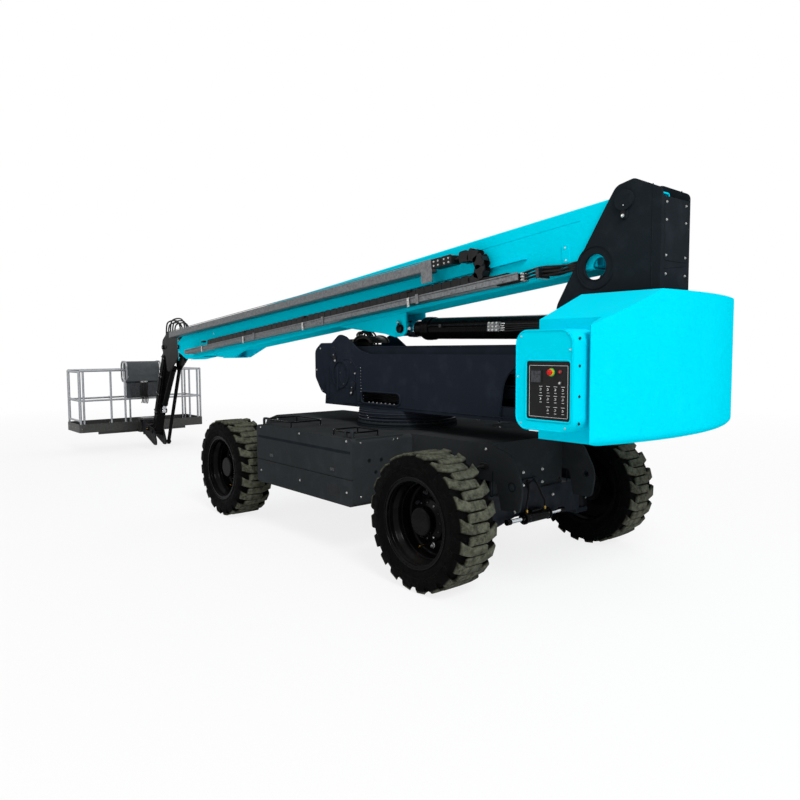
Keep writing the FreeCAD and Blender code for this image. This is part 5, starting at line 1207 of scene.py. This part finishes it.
def make_chain():
    """The drag chain: straight links in the tray, the turn at the rear and the run to the upper tray."""
    low, high = span("cable_chain", LOWER_TRAY)
    upper_low, upper_high = span("upper_cable_tray", LOWER_TRAY)
    anchor = upper_low.x - ANCHOR_LENGTH + 20
    y0, y1 = low.y + 2, high.y - 2
    bottom, top = low.z + 69, upper_high.z - 95
    radius = (top - bottom) / 2
    bend_x = low.x + radius + 90

    def on_bend(a):
        return Vector((bend_x + radius * math.cos(a), bottom + radius + radius * math.sin(a)))

    piece = Piece(black_plastic, LOWER_TRAY)
    for z, end, half in ((bottom, high.x - 10, 64), (top, anchor, 52)):
        for i in range(int((end - bend_x) / CHAIN_PITCH)):
            chain_link(piece, Vector((bend_x + (i + 0.5) * CHAIN_PITCH, z)), 0.0, y0, y1, half)
    turns = max(2, round(math.pi * radius / CHAIN_PITCH * 1.25))
    for i in range(turns):
        a = -math.pi / 2 - math.pi * (i + 0.5) / turns
        chain_link(piece, on_bend(a), a + math.pi / 2, y0, y1, 56)
    piece.paint(hose)
    bend = [on_bend(a) for a in spread(-math.pi / 2, -3 * math.pi / 2, 9)]
    for y in spread(y0 + 20, y1 - 20, 4):
        line = [(high.x - 30, y, bottom)] + [(p.x, y, p.y) for p in bend] + [(anchor, y, top)]
        piece.tube(line, 11, 8, 3)
    piece.done("drag_chain", "boom_base", replaces=["cable_chain"])


def make_nose_details():
    """Pin ends, and hose loops over the nose with their unions and clamps."""
    pin, jib_pin = at_joint("nose_level"), at_joint("jib_lift")
    piece = Piece(gloss_black)
    for at, y, side, radius in ((pin, 128, 1, 38), (jib_pin, 115, 1, 38), (pin, -128, -1, 38),
                                (jib_pin, -115, -1, 20)):
        piece.paint(gloss_black)
        piece.lathe((at.x, y - side * 6, at.z), (0, side, 0),
                    [(0, radius), (12, radius), (15, radius - 5), (13, 9)], 32)
        piece.paint(bright)
        piece.bolt((at.x, y + side * 6, at.z), (0, side, 0), 6)
    for i, y in enumerate(spread(-72, 72, 5)):
        rise = 390 + (i % 3) * 34
        piece.paint(hose)
        piece.tube([(pin.x + 40, y, pin.z + 100), (pin.x + 30, y, pin.z + rise * 0.75),
                    (pin.x + 160, y, pin.z + rise), (jib_pin.x - 210, y, pin.z + rise),
                    (jib_pin.x - 90, y, pin.z + rise * 0.8), (jib_pin.x - 60, y, pin.z + 40)], 12)
        piece.paint(bright)
        piece.rod((pin.x + 40, y, pin.z + 84), (pin.x + 38, y, pin.z + 130), 15, 6)
        piece.rod((jib_pin.x - 60, y, pin.z + 20), (jib_pin.x - 62, y, pin.z + 70), 15, 6)
    piece.paint(dark_steel)
    piece.box((pin.x + 10, -104, pin.z + 64), (pin.x + 74, 104, pin.z + 92), 4)
    piece.box((jib_pin.x - 96, -104, pin.z - 20), (jib_pin.x - 24, 104, pin.z + 26), 4)
    piece.done("nose_fittings", "nose")


def make_jib_details():
    """Beads along the jib's flanges, and the hoses that run down it with their clamps."""
    length = span("jib_arm", JIB)[1].x - 75
    side_end = length - 340
    piece = Piece(gloss_black, JIB)
    for side in SIDES:
        for z in (70, -70):
            piece.weld((90, side * 66, z), (length - 90, side * 66, z))
    piece.paint(hose)
    for y in spread(-42, 42, 4):
        piece.tube([(60, y, 92), (200, y, 96), (700, y, 92), (1200, y, 96), (length - 140, y, 92),
                    (length - 60, y, 80)], 10)
    for i in range(3):
        z = -40 + i * 34
        piece.tube([(160, 84 + i * 1.5, z), (800, 84, z + 6), (side_end, 84, z)], 9)
    for x in (180, 520, 860, 1200, length - 200):
        piece.paint(dark_steel)
        for z0, z1 in ((76, 84), (102, 109)):
            piece.box((x, -62, z0), (x + 26, 62, z1), 2)
        piece.paint(bright)
        piece.bolts([(x + 13, y, 109) for y in (-55, 55)], Z, 7, washer=False)
        if x < side_end:
            piece.bolts([(x + 12, 98, z) for z in (-52, 46)], Y, 7, washer=False)
            piece.paint(dark_steel)
            for y0, y1 in ((68, 76), (92, 98)):
                piece.box((x, y0, -58), (x + 24, y1, 52), 2)
    piece.done("jib_fittings", "jib")


def make_cylinder_details(name, radius):
    """Gland rings, valve block, hoses, a hard pipe and its clamp on one cylinder's barrel."""
    place = cylinder_frame(name)
    low, high = span(f"{name}_cylinder_barrel", place)
    block = (low.x + high.x) * 0.42
    side = radius + 6
    piece = Piece(gloss_black, place)
    for k in range(3):
        piece.ring((high.x - 12 - k * 26, 0, 0), X, radius - 1, 3.5, 48, 8)
    piece.weld_ring((low.x + radius * 1.6, 0, 0), X, radius)
    piece.tube([(block + 128, radius + 10, 20), (high.x - 190, radius + 10, 20),
                (high.x - 130, radius + 4, 16), (high.x - 104, radius - 10, 14)], 8, 10, 5)
    piece.paint(aluminium)
    piece.box((block, radius * 0.72, -40), (block + 130, radius + 30, 44), 5)
    piece.paint(bright)
    for i in range(9):
        tall = 3 * (i % 2)
        piece.lathe((block + 20 + (i % 3) * 44, radius + 29, -26 + (i // 3) * 30), Y,
                    [(0, 11), (6, 11), (7, 8), (10 + tall, 8), (12 + tall, 5)], 6)
    for i in range(4):
        z = -28 + i * 19
        piece.paint(bright)
        piece.lathe((block - 1, side, z), (-1, 0, 0),
                    [(0, 9), (16, 9), (17, 7), (34, 7), (36, 9), (48, 9)], 6)
        piece.paint(hose)
        piece.tube([(block - 44, side, z), (block - 90, radius + 8, z - 6),
                    (low.x + radius * 2.6, radius * 0.8 + i * 5, z * 0.6 + 10),
                    (low.x + radius * 1.7, radius * 0.55 + i * 4, z * 0.5 + 40)], 7.5)
    piece.paint(dark_steel)
    piece.box((high.x - 330, radius * 0.8, 4), (high.x - 300, radius + 22, 36))
    piece.done(f"{name}_cylinder_fittings", f"{name}_cylinder_barrel")


def make_rod_sleeve(name, radius, eye):
    """The black stub between the eye and the bright rod."""
    place = cylinder_frame(name)
    start = span(f"{name}_cylinder_barrel", place)[1].x + 12
    length = span(f"{name}_cylinder_rod", place)[1].x - 1.5 * eye - start
    piece = Piece(gloss_black, place)
    piece.lathe((start, 0, 0), X, [(0, radius - 4), (6, radius), (length - 18, radius),
                                   (length - 2, radius + 8), (length + 18, radius + 8)], 40)
    piece.done(f"{name}_rod_stub", f"{name}_cylinder_rod")


make_boom_details()
make_boom_pin_details()
make_section_details()
make_lower_tray_details()
make_rear_hoses()
make_upper_tray_details()
make_chain()
make_nose_details()
make_jib_details()
make_cylinder_details("boom", 110)
make_cylinder_details("riser", 70)
make_rod_sleeve("boom", 74, 60)
make_rod_sleeve("riser", 47, 44)

# ---------------------------------------------------------------- platform


def clamp(piece, x, y, z):
    """A rail clamp round a rail that runs along Y: a shell with a bolt across."""
    piece.paint(galvanised)
    piece.lathe((x, y - 18, z), Y, [(0, 22), (3, 25), (33, 25), (36, 22)])
    piece.paint(dark_steel)
    across = Vector((1, 0, 1)).normalized()
    piece.bolt(Vector((x, y, z)) + across * 23, across, 8)


def make_rail_details():
    """Clamps on the front rail, the bolts of its posts and the toe boards' rivets."""
    x = span("platform_front_rail")[1].x - 19
    low, high = span("platform_floor")
    piece = Piece(galvanised)
    for y in (-1076, -380, 380, 1076):
        clamp(piece, x, y, 945)
        piece.paint(bright)
        piece.bolts([(x + 18, y, high.z - 128), (x + 18, y, high.z - 178)], X, 8)
    for x in spread(low.x + 120, high.x - 120, 5):
        for side in SIDES:
            piece.dome((x, side * 1135, 460), (0, side, 0), 6, 3, 12)
    for y in spread(-1000, 1000, 9):
        piece.dome((high.x, y, 460), X, 6, 3, 12)
    piece.done("platform_rail_fittings", "platform")


def make_deck():
    """The raised bars of the platform's tread plate, lying one way and the other in turn."""
    front = span("platform_floor")[1].x
    reach, half_width, rise = 13, 3.5, 2.4
    piece = Piece(aluminium)
    for i, x in enumerate(spread(front - 732, front - 60, 15)):
        for k, y in enumerate(spread(-1080, 1080, 43)):
            way = 1 if (i + k) % 2 else -1
            a = Vector((x - reach, y - reach * way, 420))
            b = Vector((x + reach, y + reach * way, 420))
            side = Vector((a.y - b.y, b.x - a.x, 0)).normalized() * half_width
            base = [a + side, b + side, b - side, a - side]
            piece.loft([base, [p.lerp((a + b) / 2, 0.22) + Vector((0, 0, rise)) for p in base]])
    piece.done("platform_tread_bars", "platform")


def make_console_controls():
    """The control panel under its hood: two joysticks, a row of switches and a stop button."""
    low, high = span("platform_console")
    middle = (low.y + high.y) / 2
    deck = high.z - 190
    x = low.x + 40
    piece = Piece(black_plastic)
    piece.box((x, low.y + 60, deck - 14), (high.x - 40, high.y - 60, deck), 4)
    for y in (middle - 150, middle + 150):
        piece.lathe((x + 80, y, deck), Z, [(0, 28), (6, 28), (16, 17), (24, 15), (30, 9), (34, 7), (74, 7),
                                           (76, 14), (86, 17), (110, 15), (116, 9)])
    for i, y in enumerate(spread(middle - 75, middle + 75, 6)):
        piece.paint(bright if i % 2 else red_plastic)
        piece.rod((x + 60, y, deck), (x + 60, y, deck + 16), 6, 12)
    piece.paint(red_plastic)
    piece.lathe((x + 120, middle, deck), Z, [(0, 11), (14, 12), (16, 20), (24, 20), (28, 12)], 28)
    piece.done("console_controls", "platform")


def make_guard_loops():
    """A pale loop on either side of the console."""
    low, high = span("platform_console")
    piece = Piece(pale_plastic)
    for y in (low.y + 8, high.y - 8):
        piece.loop(rounded(low.x + 16, high.z - 350, high.x - 30, high.z - 16, 90, 7), y, 12, 10)
    piece.done("console_guard_loops", "platform")


def make_console_hoses():
    """The cover plate under the console, and the hoses that hang from their unions there."""
    low, high = span("platform_console")
    piece = Piece(dark_steel)
    cover = rounded(low.y + 60, low.z + 30, high.y - 60, high.z - 390, 14)
    piece.slab(cover, "X", low.x + 24, low.x + 34, 3)
    for i in range(5):
        y = (low.y + high.y) / 2 - 60 + i * 26
        piece.paint(hose)
        piece.tube([(low.x + 30, y, high.z - 380), (low.x - 6, y, high.z - 450),
                    (low.x + 4, y + 10, high.z - 580), (low.x + 8, y - 6, high.z - 700),
                    (low.x + 30, y, high.z - 780 + i * 4)], 9)
        piece.paint(bright)
        piece.rod((low.x + 28, y, high.z - 362), (low.x + 29, y, high.z - 392), 12, 6)
    piece.done("console_hoses", "platform")


def make_support_details():
    """Rotator cap bolts, and the valve on the support's side with its plugs."""
    top = span("platform_support")[1].z
    x, y, z = at_joint("platform_rotate")
    piece = Piece(dark_steel)
    piece.bolts([(x + u, y + v, top - 1) for u, v in circle(8, 70)], Z, 9)
    piece.paint(gloss_black)
    piece.box((x - 270, 60, z - 40), (x - 190, 112, z + 30), 5)
    piece.paint(brass)
    for dx in (-255, -229, -203):
        piece.rod((x + dx, 108, z - 4), (x + dx, 114, z - 4), 8, 6)
    piece.done("support_fittings", "platform_support")


make_rail_details()
make_deck()
make_console_controls()
make_guard_loops()
make_console_hoses()
make_support_details()

# ---------------------------------------------------------------- camera, floor and light

CAMERA_FROM_WHEELBASE = (-5.488, 4.566, 1.829)
CAMERA_YAW, CAMERA_PITCH, CAMERA_ROLL = (math.radians(a) for a in (-39.78, -4.198, -0.289))
SENSOR = 36.0
LENS = 31.24
WORLD_LIGHT = 0.5
FLOOR_HALF = 300.0
FLOOR_WHITE = 0.82
FLOOR_FADE = (6.0, 16.0)


def make_camera():
    """The camera as it stood for the photo: a place in metres, and yaw, pitch and roll."""
    data = bpy.data.cameras.new("camera")
    data.sensor_width = SENSOR
    data.lens = LENS
    forward = Vector((math.cos(CAMERA_PITCH) * math.cos(CAMERA_YAW),
                      math.cos(CAMERA_PITCH) * math.sin(CAMERA_YAW), math.sin(CAMERA_PITCH)))
    right = Vector((math.sin(CAMERA_YAW), -math.cos(CAMERA_YAW), 0))
    up = right.cross(forward)
    side = right * math.cos(CAMERA_ROLL) + up * math.sin(CAMERA_ROLL)
    top = up * math.cos(CAMERA_ROLL) - right * math.sin(CAMERA_ROLL)
    place = Matrix((side, top, -forward)).transposed().to_4x4()
    place.translation = Vector(CAMERA_FROM_WHEELBASE) + Vector((WHEELBASE_MIDDLE, 0, 0))
    camera = add_object("camera", data)
    camera.matrix_world = place
    bpy.context.scene.camera = camera


def make_world():
    """White where it is seen, also in gloss and through glass, and softer as a light."""
    world = bpy.data.worlds.new("studio")
    bpy.context.scene.world = world
    world.use_nodes = True
    graph = Graph(world.node_tree)
    rays = graph.new("ShaderNodeLightPath", 0).node.outputs
    seen = graph.math("MAXIMUM", rays["Is Camera Ray"], rays["Is Glossy Ray"])
    seen = graph.math("MAXIMUM", seen, rays["Is Transmission Ray"])
    background = graph.tree.nodes["Background"]
    background.inputs["Color"].default_value = (1, 1, 1, 1)
    graph.tree.links.new(graph.ramp(seen, 0.0, 1.0, WORLD_LIGHT, 1.0), background.inputs["Strength"])


def make_floor():
    """A wide pale floor: nearly white to the camera, with the object's soft shadow on it."""
    data = bpy.data.meshes.new("floor")
    corners = [(u * FLOOR_HALF, v * FLOOR_HALF, 0) for u, v in ((-1, -1), (1, -1), (1, 1), (-1, 1))]
    data.from_pydata(corners, [], [(0, 1, 2, 3)])
    material = bpy.data.materials.new("floor")
    material.use_nodes = True
    graph = Graph(material.node_tree)
    shader = graph.tree.nodes["Principled BSDF"]
    shader.inputs["Base Color"].default_value = (0.86, 0.86, 0.86, 1)
    shader.inputs["Roughness"].default_value = 0.9
    shader.inputs["Specular IOR Level"].default_value = 0.1
    away = graph.new("ShaderNodeVectorMath", 1, _0=graph.new("ShaderNodeTexCoord", "Object"))
    away.node.operation = "LENGTH"
    fade = graph.ramp(away, *FLOOR_FADE, FLOOR_WHITE, 1.0)
    share = graph.math("MULTIPLY", graph.new("ShaderNodeLightPath", "Is Camera Ray"), fade)
    white = graph.new("ShaderNodeEmission", 0)
    mix = graph.new("ShaderNodeMixShader", 0, _0=share, _1=shader.outputs[0], _2=white)
    graph.tree.links.new(mix, graph.tree.nodes["Material Output"].inputs["Surface"])
    data.materials.append(material)
    add_object("floor", data)


def make_lamp(name, place, aim, size, power):
    """A square soft box that points at a place, in metres."""
    data = bpy.data.lights.new(name, "AREA")
    data.size = size
    data.energy = power
    lamp = add_object(name, data)
    lamp.location = place
    lamp.rotation_mode = "QUATERNION"
    lamp.rotation_quaternion = (Vector(aim) - Vector(place)).to_track_quat("-Z", "Y")


make_camera()
make_world()
make_floor()
middle = (CAD_BOX[0] + CAD_BOX[1]) / 2
make_lamp("key_lamp", middle + Vector((-18, 6, 13)), middle + Vector((-2, 0, 0)), 6.0, 2900)
make_lamp("fill_lamp", middle + Vector((2, 13, 4)), middle, 8.0, 250)
make_lamp("rim_lamp", middle + Vector((4, -12, 8)), middle, 8.0, 400)
bpy.context.scene.view_settings.view_transform = "Standard"
